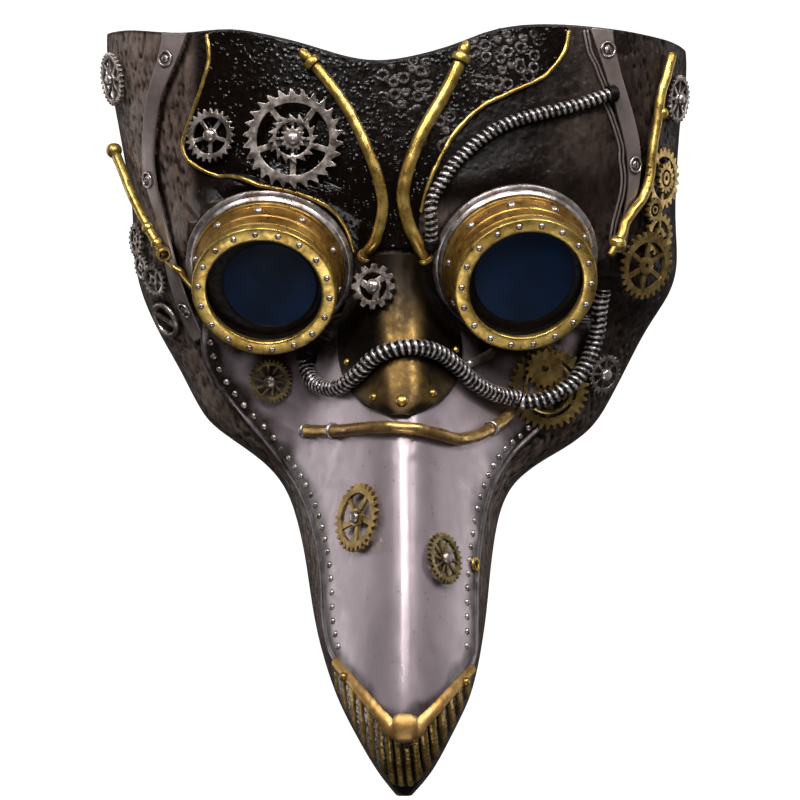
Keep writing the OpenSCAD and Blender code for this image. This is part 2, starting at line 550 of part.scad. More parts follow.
module lens(seat) {
    color(BLUE) at_seat(seat) rotate_extrude($fn = 64) polygon([
        [0, LENS_Z + 0.05], [lens_r, LENS_Z + 0.05], [lens_r, LENS_Z + 1.2],
        for (k = [4:-1:0]) [lens_r * k / 5, LENS_Z + 1.2 + 0.6 * (1 - (k / 5) ^ 2)],
    ]);
}
module lens_keeper(seat) {
    color(OLD_BRASS) at_seat(seat) rotate_extrude($fn = 64) polygon([
        [bezel_open_r, LENS_Z + 1.5], [21.3, LENS_Z + 1.5], [21.3, BEZEL_Z - 0.1],
        [bezel_open_r + 0.5, BEZEL_Z - 0.1],
    ]);
}
module goggle_rivets(seat, turn) {
    color(STEEL) at_seat(seat) {
        for (i = [0:BEZEL_RIVETS - 1]) rotate(turn + 360 * i / BEZEL_RIVETS)
            translate([(bezel_open_r + bezel_r) / 2 + 0.2, 0, goggle_h - 0.1]) rivet(1.1, 0.9);
        for (i = [0:BARREL_RIVETS - 1]) rotate(turn + 360 * i / BARREL_RIVETS)
            translate([24.55, 0, 8.6]) rotate([0, 90, 0]) rivet(1.5, 1.2);
    }
}
module left_eye_socket() { eye_socket(LEFT_SEAT); }
module right_eye_socket() { eye_socket(RIGHT_SEAT); }
module left_base_ring() { base_ring(LEFT_SEAT); }
module right_base_ring() { base_ring(RIGHT_SEAT); }
module left_barrel() { barrel(LEFT_SEAT); }
module right_barrel() { barrel(RIGHT_SEAT); }
module left_bezel() { bezel(LEFT_SEAT); }
module right_bezel() { bezel(RIGHT_SEAT); }
module left_lens() { lens(LEFT_SEAT); }
module right_lens() { lens(RIGHT_SEAT); }
module left_lens_keeper() { lens_keeper(LEFT_SEAT); }
module right_lens_keeper() { lens_keeper(RIGHT_SEAT); }
module left_goggle_rivets() { goggle_rivets(LEFT_SEAT, 4); }
module right_goggle_rivets() { goggle_rivets(RIGHT_SEAT, 12); }

// ---- Nose ----
module nose_plate() {
    color(OLD_BRASS) plate(NOSE_LEFT, NOSE_RIGHT, -45, 10, 18, 14, NOSE_H, plate_t);
}
module nose_rivets() {
    color(BRASS) for (p = NOSE_RIVETS)
        on_face(p.x, p.y, NOSE_H + plate_t) rivet(p.z, p.z * 0.8);
}

// ---- Hoses ----
module upper_hose() { color(STEEL) pipe_on(UPPER_HOSE, 3, UPPER_HOSE_R, 10); }
module lower_hose() { color(STEEL) pipe_on(LOWER_HOSE, 3, LOWER_HOSE_R, 12); }
module ferrule(r) {
    translate([0, 0, -1.5]) rotate_extrude($fn = 32) polygon([
        [r, 0], [r + 0.7, 0], [r + 0.9, 0.7], [r + 0.9, 2.6], [r + 0.3, 3.4], [0, 3.6],
        [0, 1.7], [r, 1.7],
    ]);
}
module hose_ferrules() {
    color(BLACK) {
        at_end(UPPER_HOSE) ferrule(UPPER_HOSE_R);
        at_end(UPPER_HOSE, true) ferrule(UPPER_HOSE_R);
        at_end(LOWER_HOSE) ferrule(LOWER_HOSE_R);
    }
}
module cheek_bar() { color(STEEL) pipe_on(CHEEK_BAR, 2, 1.7, 10); }
module hose_clamp() {
    color(BLACK) at_end(LOWER_HOSE, true) translate([0, 0, 1.2]) difference() {
        cube([5.6, 7, 5.6], center = true);
        translate([0, 0, -4.3]) cylinder(h = 3.2, r = LOWER_HOSE_R + 0.1, $fn = 32);
    }
}

// ---- Beak ----
module beak_plate() {
    color(STEEL) difference() {
        plate(BEAK_PLATE_LEFT, BEAK_PLATE_RIGHT, -149, -10, 34, 18, seat_gap, plate_t);
        for (seat = [LEFT_SEAT, RIGHT_SEAT])
            at_seat(seat) translate([0, 0, -20]) cylinder(h = 50, r = base_ring_r + 0.3, $fn = 64);
    }
}
// Points at even steps of length along a route over the shell.
function lengths(p, i = 0, s = 0) = i >= len(p) - 1 ? [s]
    : concat([s], lengths(p, i + 1, s + norm(lift(p[i + 1][0], p[i + 1][1], 0) - lift(p[i][0], p[i][1], 0))));
function at_length(p, ls, s, i = 0) = i >= len(p) - 2 || ls[i + 1] >= s
    ? p[i] + (p[i + 1] - p[i]) * (s - ls[i]) / (ls[i + 1] - ls[i]) : at_length(p, ls, s, i + 1);
function even_points(r, step) = let (p = smooth_line(r, 4), ls = lengths(p), last = ls[len(ls) - 1])
    [for (k = [0:floor(last / step)]) at_length(p, ls, k * step)];
// The outline of a plate, moved inwards and listed as [x, z] from the top down.
function inset(outline, by, z0, z1) = [
    for (i = [len(outline) - 1:-1:0]) if (outline[i][0] >= z0 && outline[i][0] <= z1)
        let (
            d = unit(outline[min(i + 1, len(outline) - 1)] - outline[max(i - 1, 0)]),
            s = by > 0 ? 1 : -1
        )
        [outline[i][1] + by * abs(d[0]), outline[i][0] - s * by * d[1] * sign(by)],
];
module rivet_row(outline, by, z0, z1) {
    color(STEEL) for (p = even_points(inset(outline, by, z0, z1), RIVET_STEP))
        on_face(p.x, p.y, seat_gap + plate_t) rivet(1.15, 0.8);
}
module left_beak_rivets() { rivet_row(BEAK_PLATE_LEFT, 3.6, -128, -20); }
module right_beak_rivets() { rivet_row(BEAK_PLATE_RIGHT, -3.6, -128, -40); }
module beak_eyelet() {
    color(BRASS) on_face(24.2, -94.5, seat_gap + plate_t - 0.3) difference() {
        bead_ring(1.9, 0.9, 1.6);
        translate([0, 0, -1]) cylinder(h = 4, r = 1.2, $fn = 24);
    }
}
module mouth_pipe() { color(BRASS) pipe_on(MOUTH_PIPE, 3, MOUTH_PIPE_R, 12); }
module mouth_pipe_rings() {
    line = route(MOUTH_PIPE, 3);
    color(STEEL) {
        for (i = MOUTH_RING_AT) point_along(line[i], unit(line[i + 1] - line[i - 1]))
            translate([0, 0, -0.8]) collar(MOUTH_PIPE_R - 0.2, 1, 1.6);
        at_end(MOUTH_PIPE) translate([0, 0, -1]) collar(MOUTH_PIPE_R - 0.2, 0.8, 1.4);
    }
}
module beak_lip() {
    line = route(LIP, 3);
    color(BRASS) tube(line, [for (p = line) LIP_R + NUB_R * exp(-((p.x - LIP_X) / 5) ^ 2)], 12, 0.7);
}
module lip_rivets() {
    color(BRASS) for (p = LIP_RIVETS) on_face(p.x, p.y, p.z) rivet(1.5, 1.1);
}
module jaw_grille() {
    color(OLD_BRASS) for (k = [-JAW_BARS / 2 + 0.5:JAW_BARS / 2 - 0.5]) let (
        x = LIP_X + JAW_PITCH * k,
        top = along(JAW_TOP, x),
        foot = along(JAW_RIM, x)
    ) pipe_on([
        for (q = [0:0.25:1]) [x - 0.08 * q * k * JAW_PITCH, top + (foot - top) * q, 0.35],
    ], 1, 0.85, 6);
}

// ---- Wheels that turn, each on its own pin ----
module forehead_small_wheel() {
    color(STEEL) on_wheel(SMALL_AT) wheel(SMALL_R, 7.9, 24, 1.7, 5, 1.3, 2.4, 0.08);
}
module forehead_large_wheel() {
    color(STEEL) on_wheel(LARGE_AT) wheel(LARGE_R, 14.8, 26, 2.6, 5, 2, 3.4, 0.06, 0.2);
}
module forehead_ratchet() {
    color(STEEL) on_wheel(LARGE_AT, wheel_t)
        wheel(8.5, 6.8, 16, 1.1, 4, 0.9, 2.4, 0.05, 0.35, t = 0.9);
}
module forehead_pinion() {
    color(STEEL) on_wheel(LARGE_AT, wheel_t + 0.9) wheel(4.3, 3.3, 12, 1, 0, 0, 3, 0.14, t = 0.9);
}
module nose_wheel() {
    color(PEWTER) on_wheel(NOSE_AT) wheel(7.7, 6.2, 12, 1.4, 3, 2.2, 2.6, 0.2, swirl = 0.9);
}
module left_cheek_wheel() {
    color(OLD_BRASS) on_wheel(LEFT_CHEEK_AT) wheel(7.5, 6.5, 30, 1.1, 10, 0.8, 2, 0.12, swirl = 0.7);
}
module right_cheek_wheel() {
    color(STEEL) on_wheel(RIGHT_CHEEK_AT) wheel(6.9, 6, 24, 1.1, 8, 0.8, 1.9, 0.1);
}
module left_beak_wheel() {
    color(OLD_BRASS) on_wheel(LEFT_BEAK_AT) wheel(11.7, 10.2, 28, 1.9, 5, 1.7, 3, 0.14, swirl = 0.8);
}
module right_beak_wheel() {
    color(OLD_BRASS) on_wheel(RIGHT_BEAK_AT) wheel(8.8, 7.6, 28, 1.2, 10, 0.9, 2, 0.12, swirl = 0.7);
}
module left_temple_wheel() {
    color(STEEL) on_wheel(LEFT_TEMPLE_AT) wheel(9.2, 8.2, 30, 1.2, 8, 1, 2.4, 0.12);
}
module right_temple_wheel() {
    color(STEEL) on_wheel(RIGHT_TEMPLE_AT) wheel(8.3, 7.4, 26, 1.1, 8, 1, 2.2, 0.12);
}
// A pin: a shoulder bedded in the shell, a shank through the wheel and a domed head.
module pin(at, stack) {
    on_wheel(at) {
        translate([0, 0, -at[2] - bed]) cylinder(h = at[2] + bed - wheel_play, r = 1.9, $fn = 32);
        translate([0, 0, -at[2] - bed])
            cylinder(h = at[2] + bed + stack + wheel_play + 0.6, r = pin_r, $fn = 32);
        translate([0, 0, stack + wheel_play + bed]) rivet(2.1, 1);
    }
}
module wheel_pins() {
    color(STEEL) for (i = [0:len(WHEELS) - 1])
        pin(WHEELS[i], WHEELS[i] == LARGE_AT ? wheel_t + 1.8 : wheel_t);
}

// ---- Wheels that are trim and don't turn ----
module right_temple_train() {
    color(BRASS) {
        set_wheel(88.4, 36.4, 1.2) wheel(10.4, 9, 22, 1.6, 5, 1.4, 3, 0.16, bore = 0.8, t = 1.2);
        set_wheel(88.4, 36.4, 2.2) wheel(5.2, 4.2, 14, 1.2, 0, 0, 2.2, 0.16, bore = 0.8, t = 1.2);
        set_wheel(84.6, 25.8, 2.3) wheel(4.2, 3.4, 12, 1.1, 0, 0, 1.4, 0.16, bore = 0.8, t = 1.2);
        set_wheel(87.2, 17.3, 1.2) wheel(7.5, 6.3, 16, 1.5, 4, 1.3, 2.4, 0.16, bore = 0.8, t = 1.2);
        set_wheel(82.6, 7.1, 1.8) wheel(11.7, 10.2, 26, 2, 6, 1.5, 3, 0.16, bore = 0.8, t = 1.2);
    }
}
module left_temple_train() {
    color(PEWTER) {
        set_wheel(-87.8, 15.6, 1) wheel(5.8, 4.8, 18, 1, 5, 0.8, 1.8, 0.12, bore = 0.7, t = 1.1);
        set_wheel(-86, 6.4, 1) wheel(4.8, 3.9, 16, 0.9, 4, 0.8, 1.6, 0.12, bore = 0.7, t = 1.1);
        set_wheel(-81.3, 2.2, 1.4) wheel(5.8, 4.9, 18, 1, 5, 0.8, 1.8, 0.12, bore = 0.7, t = 1.1);
        on_face(-78.6, -11.4, 0) {
            bead_ring(5.6, 0.9, 1.8);
            translate([0, 0, -bed]) linear_extrude(1.6) rotate(60) square([11, 1.6], center = true);
        }
    }
}
module right_cheek_gear() {
    color(BRASS) {
        set_wheel(50.4, -34.8, 2, 2.5)
            wheel(14.2, 12.5, 34, 2.4, 6, 1.8, 5, 0.14, bore = 1, t = 1.2);
        on_face(50.4, -34.8, 3) bead_ring(8.2, 0.8, 1.4, 8);
        set_wheel(48.8, -27.6, 4.2, 1.5) wheel(6.8, 5.7, 16, 1.5, 0, 0, 4.6, 0.16, bore = 1.2, t = 1.2);
    }
}

// ---- Inside: lugs for a ribbon or elastic, and a tab to hang it by ----
module tie_lugs() {
    color(BLACK) for (s = [-1, 1]) translate([s * LUG_X, -LUG_DEPTH, LUG_Z]) rotate([90, 0, 0])
        difference() {
            union() {
                cylinder(h = LUG_T, r = LUG_R, center = true, $fn = 48);
                translate([s * LUG_REACH / 2, 0, 0]) cube([LUG_REACH, 2 * LUG_R, LUG_T], center = true);
            }
            cylinder(h = LUG_T + 2, r = tie_hole_r, center = true, $fn = 48);
        }
}
module hanger_tab() {
    color(BLACK) translate([0, -HANG_DEPTH, HANG_Z]) rotate([90, 0, 0]) difference() {
        union() {
            cylinder(h = LUG_T, r = HANG_R, center = true, $fn = 48);
            translate([0, -HANG_DROP / 2, 0]) cube([2 * HANG_R, HANG_DROP, LUG_T], center = true);
            translate([0, 2 - HANG_DROP, HANG_FOOT / 2]) cube([2 * HANG_R, 4, HANG_FOOT], center = true);
        }
        cylinder(h = LUG_T + 2, r = hang_hole_r, center = true, $fn = 48);
    }
}

face_shell();
forehead_panel();
left_gold_wire();
right_gold_wire();
left_brow_pipe();
right_brow_pipe();
brow_pipe_fittings();
left_temple_strap();
right_temple_strap();
strap_screws();
left_temple_pipe();
right_temple_pipe();
temple_pipe_knobs();
left_eye_socket();
left_base_ring();
left_barrel();
left_bezel();
left_lens();
left_lens_keeper();
left_goggle_rivets();
right_eye_socket();
right_base_ring();
right_barrel();
right_bezel();
right_lens();
right_lens_keeper();
right_goggle_rivets();
nose_plate();
nose_rivets();
upper_hose();
lower_hose();
hose_ferrules();
hose_clamp();
cheek_bar();
beak_plate();
left_beak_rivets();
right_beak_rivets();
mouth_pipe();
mouth_pipe_rings();
beak_lip();
lip_rivets();
jaw_grille();
forehead_small_wheel();
forehead_large_wheel();
forehead_ratchet();
forehead_pinion();
nose_wheel();
left_cheek_wheel();
right_cheek_wheel();
left_beak_wheel();
right_beak_wheel();
left_temple_wheel();
right_temple_wheel();
right_temple_train();
left_temple_train();
right_cheek_gear();
beak_eyelet();
wheel_pins();
tie_lugs();
hanger_tab();
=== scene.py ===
"""Looks of the plague doctor mask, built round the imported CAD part. Metres throughout."""

import json
import math

import bmesh
import bpy
import numpy as np
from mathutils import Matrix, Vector, noise
from mathutils.bvhtree import BVHTree
from mathutils.kdtree import KDTree


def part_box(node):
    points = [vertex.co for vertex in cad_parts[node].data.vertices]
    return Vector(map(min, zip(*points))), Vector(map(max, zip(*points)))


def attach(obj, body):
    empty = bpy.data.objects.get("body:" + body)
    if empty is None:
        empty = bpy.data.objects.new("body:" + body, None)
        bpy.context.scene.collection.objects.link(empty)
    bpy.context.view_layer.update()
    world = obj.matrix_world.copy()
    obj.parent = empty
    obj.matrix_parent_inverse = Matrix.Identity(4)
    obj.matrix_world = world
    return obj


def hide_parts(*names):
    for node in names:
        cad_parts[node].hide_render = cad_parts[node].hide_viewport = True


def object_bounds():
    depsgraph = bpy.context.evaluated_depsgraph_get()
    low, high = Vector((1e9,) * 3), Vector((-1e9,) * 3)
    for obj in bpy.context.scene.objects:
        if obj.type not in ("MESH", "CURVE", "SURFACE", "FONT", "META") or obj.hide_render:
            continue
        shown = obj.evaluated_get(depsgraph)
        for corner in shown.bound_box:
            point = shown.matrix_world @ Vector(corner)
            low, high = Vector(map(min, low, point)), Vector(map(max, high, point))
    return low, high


MM = 0.001
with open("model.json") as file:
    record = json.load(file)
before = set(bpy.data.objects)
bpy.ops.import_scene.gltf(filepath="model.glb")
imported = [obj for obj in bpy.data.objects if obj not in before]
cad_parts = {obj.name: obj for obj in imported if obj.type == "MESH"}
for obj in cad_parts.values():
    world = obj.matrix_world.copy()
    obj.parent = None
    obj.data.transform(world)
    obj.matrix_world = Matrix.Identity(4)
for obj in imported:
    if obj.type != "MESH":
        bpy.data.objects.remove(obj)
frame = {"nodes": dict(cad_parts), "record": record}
NODES = frame["nodes"]
CAD_BOUNDS = [list(corner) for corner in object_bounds()]

# ---------------------------------------------------------------- camera, light and stage
VIEW_CENTRE = Vector((0.7, -25, -39.1)) * MM
VIEW_WIDTH = 272 * MM
VIEW_DISTANCE = 3.0
SENSOR_MM = 36
STAGE_DROP = 0.13
STAGE_SIDES = 64
# radius and rise of each ring of the white bowl, from the floor's edge up
STAGE_PROFILE = [
    (2, 0), (4, 0), (5, 0.15), (5.6, 0.5), (6.1, 1), (6.5, 1.6), (6.8, 2.4), (7, 4), (7, 7),
]
WORLD_LIGHT = 0.055
# name, degrees to the right, degrees up, distance, size, watts
SOFTBOXES = [
    ("ridge_left", -12, 38, 2.0, (0.2, 0.95), 27),
    ("ridge_right", 11, 38, 2.0, (0.12, 0.95), 15),
    ("key_left", -50, 44, 2.0, (0.45, 0.36), 21),
    ("key_right", 52, 44, 2.0, (0.42, 0.36), 31),
    ("low_front", 0, -52, 2.0, (1.3, 0.5), 10),
    ("top_back", 0, 115, 1.8, (1.2, 0.6), 10),
    ("rim_left", -118, 5, 1.8, (0.4, 1.2), 5),
    ("rim_right", 118, 5, 1.8, (0.4, 1.2), 4),
    ("back_fill", 180, 20, 2.4, (1.0, 1.0), 12),
]


def link(obj):
    bpy.context.scene.collection.objects.link(obj)
    return obj


def bridge(bm, low, high):
    """A band of faces between two rings of points."""
    for k in range(len(low)):
        n = (k + 1) % len(low)
        bm.faces.new((low[k], low[n], high[n], high[k]))


def make_camera():
    data = bpy.data.cameras.new("view_camera")
    data.sensor_width = SENSOR_MM
    data.lens = SENSOR_MM * VIEW_DISTANCE / VIEW_WIDTH
    data.clip_end = 100
    camera = link(bpy.data.objects.new("view_camera", data))
    camera.location = VIEW_CENTRE + Vector((0, -VIEW_DISTANCE, 0))
    camera.rotation_euler = (math.radians(90), 0, 0)
    bpy.context.scene.camera = camera


def softbox(name, side, up, distance, size, watts):
    """A soft light seen from the mask at side degrees to the right and up degrees above."""
    data = bpy.data.lights.new(name, "AREA")
    data.shape = "RECTANGLE"
    data.size, data.size_y = size
    data.energy = watts
    lamp = link(bpy.data.objects.new(name, data))
    a, e = math.radians(side), math.radians(up)
    away = Vector((math.sin(a) * math.cos(e), -math.cos(a) * math.cos(e), math.sin(e)))
    lamp.location = VIEW_CENTRE + away * distance
    lamp.rotation_euler = away.to_track_quat("Z", "Y").to_euler()
    lamp.visible_camera = False


def make_stage():
    """One white bowl: a flat floor whose edge curves up into the backdrop."""
    floor_z = CAD_BOUNDS[0][2] - STAGE_DROP
    angles = [2 * math.pi * k / STAGE_SIDES for k in range(STAGE_SIDES)]
    bm = bmesh.new()
    loops = []
    for radius, rise in STAGE_PROFILE:
        loops.append([
            bm.verts.new((radius * math.cos(a), radius * math.sin(a), floor_z + rise))
            for a in angles
        ])
    bm.faces.new(loops[0])
    for low, high in zip(loops, loops[1:]):
        bridge(bm, low, high)
    mesh = bpy.data.meshes.new("studio_floor")
    bm.to_mesh(mesh)
    bm.free()
    for polygon in mesh.polygons:
        polygon.use_smooth = True
    floor = link(bpy.data.objects.new("studio_floor", mesh))
    material = bpy.data.materials.new("studio_white")
    material.use_nodes = True
    shader = material.node_tree.nodes["Principled BSDF"]
    shader.inputs["Base Color"].default_value = (0.8, 0.8, 0.8, 1)
    shader.inputs["Roughness"].default_value = 0.9
    shader.inputs["Emission Color"].default_value = (1, 1, 1, 1)
    shader.inputs["Emission Strength"].default_value = 1.0
    mesh.materials.append(material)
    floor.visible_diffuse = False
    floor.visible_glossy = False
    floor.visible_transmission = False
    floor.visible_shadow = False


def make_light():
    world = bpy.data.worlds.new("studio_air")
    world.use_nodes = True
    back = world.node_tree.nodes["Background"]
    back.inputs["Color"].default_value = (1, 1, 1, 1)
    back.inputs["Strength"].default_value = WORLD_LIGHT
    bpy.context.scene.world = world
    for name, side, up, distance, size, watts in SOFTBOXES:
        softbox(name, side, up, distance, size, watts)
    bpy.context.scene.view_settings.view_transform = "Standard"


make_camera()
make_light()
make_stage()


# ---------------------------------------------------------------- materials
def tone(hex_colour):
    """The linear colour of a hex colour."""
    parts = [int(hex_colour[i:i + 2], 16) / 255 for i in (1, 3, 5)]
    return [c / 12.92 if c <= 0.04045 else ((c + 0.055) / 1.055) ** 2.4 for c in parts] + [1]


class Finish:
    """A material whose nodes are added one call at a time."""

    def __init__(self, name):
        self.material = bpy.data.materials.new(name)
        self.material.use_nodes = True
        self.tree = self.material.node_tree
        self.shader = self.tree.nodes["Principled BSDF"]
        self.place = self.add("ShaderNodeTexCoord").outputs["Object"]

    def add(self, kind, **settings):
        node = self.tree.nodes.new(kind)
        for key, value in settings.items():
            setattr(node, key, value)
        return node

    def feed(self, socket, value):
        if isinstance(value, bpy.types.NodeSocket):
            self.tree.links.new(value, socket)
        else:
            socket.default_value = value

    def stretched(self, scale):
        node = self.add("ShaderNodeMapping")
        self.feed(node.inputs["Vector"], self.place)
        node.inputs["Scale"].default_value = scale
        return node.outputs["Vector"]

    def noise(self, per_metre, detail=3, rough=0.55, place=None):
        node = self.add("ShaderNodeTexNoise")
        self.feed(node.inputs["Vector"], place or self.place)
        self.feed(node.inputs["Scale"], per_metre)
        self.feed(node.inputs["Detail"], detail)
        self.feed(node.inputs["Roughness"], rough)
        return node.outputs["Fac"]

    def cells(self, per_metre):
        node = self.add("ShaderNodeTexVoronoi", feature="F1")
        self.feed(node.inputs["Vector"], self.place)
        self.feed(node.inputs["Scale"], per_metre)
        return node.outputs["Distance"]

    def spread(self, value, low, high, out_low=0.0, out_high=1.0):
        node = self.add("ShaderNodeMapRange", interpolation_type="SMOOTHSTEP")
        self.feed(node.inputs["Value"], value)
        self.feed(node.inputs["From Min"], low)
        self.feed(node.inputs["From Max"], high)
        self.feed(node.inputs["To Min"], out_low)
        self.feed(node.inputs["To Max"], out_high)
        return node.outputs["Result"]

    def blend(self, share, first, second):
        node = self.add("ShaderNodeMix", data_type="RGBA", blend_type="MIX")
        self.feed(node.inputs["Factor"], share)
        self.feed(node.inputs[6], first)
        self.feed(node.inputs[7], second)
        return node.outputs[2]

    def maths(self, operation, a, b=0.0):
        node = self.add("ShaderNodeMath", operation=operation, use_clamp=True)
        self.feed(node.inputs[0], a)
        self.feed(node.inputs[1], b)
        return node.outputs[0]

    def carried(self, name):
        """A number that the piece's mesh carries at each point."""
        return self.add("ShaderNodeAttribute", attribute_name=name).outputs["Fac"]

    def crevice(self, reach):
        """1 deep in a corner, 0 out in the open; colour darkened by it is painted shade."""
        node = self.add("ShaderNodeAmbientOcclusion", samples=6)
        node.inputs["Distance"].default_value = reach
        return self.spread(node.outputs["AO"], 0.35, 0.95, 1.0, 0.0)

    def bump(self, height, strength, distance):
        node = self.add("ShaderNodeBump")
        node.inputs["Strength"].default_value = strength
        node.inputs["Distance"].default_value = distance
        self.feed(node.inputs["Height"], height)
        self.feed(self.shader.inputs["Normal"], node.outputs["Normal"])

    def finish(self, colour, rough, metal, specular=0.5):
        self.feed(self.shader.inputs["Base Color"], colour)
        self.feed(self.shader.inputs["Roughness"], rough)
        self.shader.inputs["Metallic"].default_value = metal
        self.shader.inputs["Specular IOR Level"].default_value = specular
        return self.material


def painted_metal(name, light, mid, dark, rough=(0.24, 0.46), reach=1.6 * MM, blotch=90,
                  shaded=False, smudge=0.55):
    """Metallic paint on cast resin: blotchy, rubbed bright, dark in corners: dark wash and painted
    shade.
    """
    f = Finish(name)
    cloud = f.spread(f.noise(blotch, 4, 0.6), 0.35, 0.68)
    colour = f.blend(cloud, tone(mid), tone(light))
    speck = f.spread(f.noise(900, 3, 0.7), 0.52, 0.72)
    worn = f.maths("MULTIPLY", f.spread(f.noise(260, 4, 0.65), 0.5, 0.72), smudge)
    # Darker in corners by ambient occlusion: painted shade, partly a dark wash; the noise adds real
    # smudges.
    stain_and_shade = f.maths("MAXIMUM", f.crevice(reach), worn)
    stain_and_shade = f.maths("MULTIPLY", stain_and_shade, f.spread(speck, 0, 1, 0.8, 1.0))
    colour = f.blend(stain_and_shade, colour, tone(dark))
    if shaded:
        # Darkened by the carried value; on the nose this is mostly painted shade.
        colour = f.blend(f.carried("tone_and_shade"), colour, tone(dark))
    gloss = f.spread(f.noise(420, 3, 0.6), 0.3, 0.7, rough[0], rough[1])
    f.bump(f.noise(1500, 3, 0.6), 0.25, 0.08 * MM)
    return f.finish(colour, gloss, 0.85)


def shell_paint():
    f = Finish("hammered_resin")
    patch = f.noise(38, 3, 0.55)
    streak = f.noise(420, 4, 0.62, f.stretched((1, 1, 0.4)))
    warm = f.blend(f.spread(patch, 0.3, 0.7), tone("#615249"), tone("#7c6c64"))
    warm = f.blend(f.maths("MULTIPLY", f.spread(streak, 0.4, 0.7), 0.7), warm, tone("#32241f"))
    # Darker by the carried shade: the black ground and darker paint, plus painted shade round the
    # parts on the shell.
    colour = f.blend(f.carried("tone_and_shade"), warm, tone("#0b0503"))
    colour = f.blend(f.carried("pit"), colour, tone("#0a0403"))
    gloss = f.spread(f.noise(600, 3, 0.6), 0.3, 0.7, 0.28, 0.42)
    domes = f.spread(f.cells(470), 0.0, 0.62, 1.0, 0.0)
    grain = f.maths("MULTIPLY", f.noise(900, 4, 0.65, f.stretched((1, 1, 0.6))), 0.45)
    f.bump(f.maths("ADD", grain, f.maths("MULTIPLY", domes, 0.3)), 1.0, 0.3 * MM)
    return f.finish(colour, gloss, 0.05, specular=0.13)


def black_paint():
    f = Finish("black_pebbled")
    # Light grey on the bubble rings is a painted reflection.
    colour = f.blend(f.carried("ring"), tone("#080402"), tone("#5d534f"))
    gloss = f.spread(f.noise(500, 3, 0.6), 0.3, 0.7, 0.12, 0.22)
    domes = f.spread(f.cells(520), 0.0, 0.45, 1.0, 0.0)
    some = f.spread(f.noise(230, 2, 0.5), 0.46, 0.62, 0.12, 1.0)
    f.bump(f.maths("MULTIPLY", domes, some), 1.0, 0.42 * MM)
    return f.finish(colour, gloss, 0.0, specular=0.2)


def beak_paint():
    f = Finish("beak_satin_silver")
    cloud = f.spread(f.noise(30, 4, 0.6, f.stretched((1.4, 1.4, 0.7))), 0.3, 0.72)
    colour = f.blend(cloud, tone("#86797e"), tone("#9e9095"))
    smoke = f.noise(160, 5, 0.7)
    band = f.carried("rim")
    band = f.maths("MULTIPLY", band, f.spread(smoke, 0.25, 0.75, 0.75, 1.25))
    colour = f.blend(band, colour, tone("#20150f"))
    gloss = f.spread(f.noise(240, 4, 0.65), 0.3, 0.7, 0.27, 0.38)
    f.bump(f.noise(2200, 3, 0.7), 0.4, 0.09 * MM)
    return f.finish(colour, gloss, 0.5, specular=0.6)


def hose_paint():
    f = Finish("brushed_hose")
    rubbed = f.spread(f.noise(500, 3, 0.6), 0.3, 0.62)
    share = f.maths("MULTIPLY", f.carried("ridge"), rubbed)
    colour = f.blend(share, tone("#080606"), tone("#c2b8b6"))
    gloss = f.spread(f.noise(800, 3, 0.6), 0.3, 0.7, 0.22, 0.4)
    f.bump(f.noise(1800, 2, 0.6), 0.2, 0.06 * MM)
    return f.finish(colour, gloss, 0.6)


def strap_paint():
    f = Finish("warm_grey_strap")
    cloud = f.spread(f.noise(60, 4, 0.6), 0.3, 0.7)
    colour = f.blend(cloud, tone("#5f534f"), tone("#7d716e"))
    # Painted shade: the strap is darkened in its corners.
    colour = f.blend(f.maths("MULTIPLY", f.crevice(1.5 * MM), 0.7), colour, tone("#1c1615"))
    gloss = f.spread(f.noise(300, 4, 0.6), 0.3, 0.7, 0.3, 0.42)
    f.bump(f.noise(1100, 4, 0.6), 0.3, 0.08 * MM)
    return f.finish(colour, gloss, 0.45)


def lens_paint():
    f = Finish("dark_blue_lens")
    cloud = f.spread(f.noise(40, 2, 0.5), 0.3, 0.7)
    colour = f.blend(cloud, tone("#0c1624"), tone("#10203a"))
    gloss = f.spread(f.noise(90, 2, 0.5), 0.3, 0.7, 0.3, 0.4)
    return f.finish(colour, gloss, 0.0, specular=0.03)


def trim_paint():
    f = Finish("black_trim_paint")
    colour = f.blend(f.spread(f.noise(300, 4, 0.6), 0.45, 0.75), tone("#070403"), tone("#120c0a"))
    gloss = f.spread(f.noise(500, 3, 0.6), 0.3, 0.7, 0.4, 0.6)
    f.bump(f.noise(1200, 3, 0.6), 0.3, 0.1 * MM)
    return f.finish(colour, gloss, 0.0, specular=0.1)


def jaw_paint():
    """Gold ribs with black grooves, a few of the grooves rubbed silver."""
    f = Finish("ribbed_jaw")
    cloud = f.spread(f.noise(140, 4, 0.6), 0.35, 0.68)
    colour = f.blend(cloud, tone("#7f6233"), tone("#b39350"))
    speck = f.spread(f.noise(700, 4, 0.7), 0.5, 0.7)
    colour = f.blend(f.maths("MULTIPLY", speck, 0.7), colour, tone("#1c0e05"))
    colour = f.blend(f.carried("groove"), colour, tone("#0e0603"))
    rubbed = f.spread(f.noise(900, 4, 0.7), 0.42, 0.55)
    colour = f.blend(f.maths("MULTIPLY", f.carried("silver"), rubbed), colour, tone("#cfc6c6"))
    gloss = f.spread(f.noise(500, 3, 0.6), 0.3, 0.7, 0.28, 0.45)
    f.bump(f.noise(1300, 4, 0.65), 0.4, 0.1 * MM)
    return f.finish(colour, gloss, 0.75)


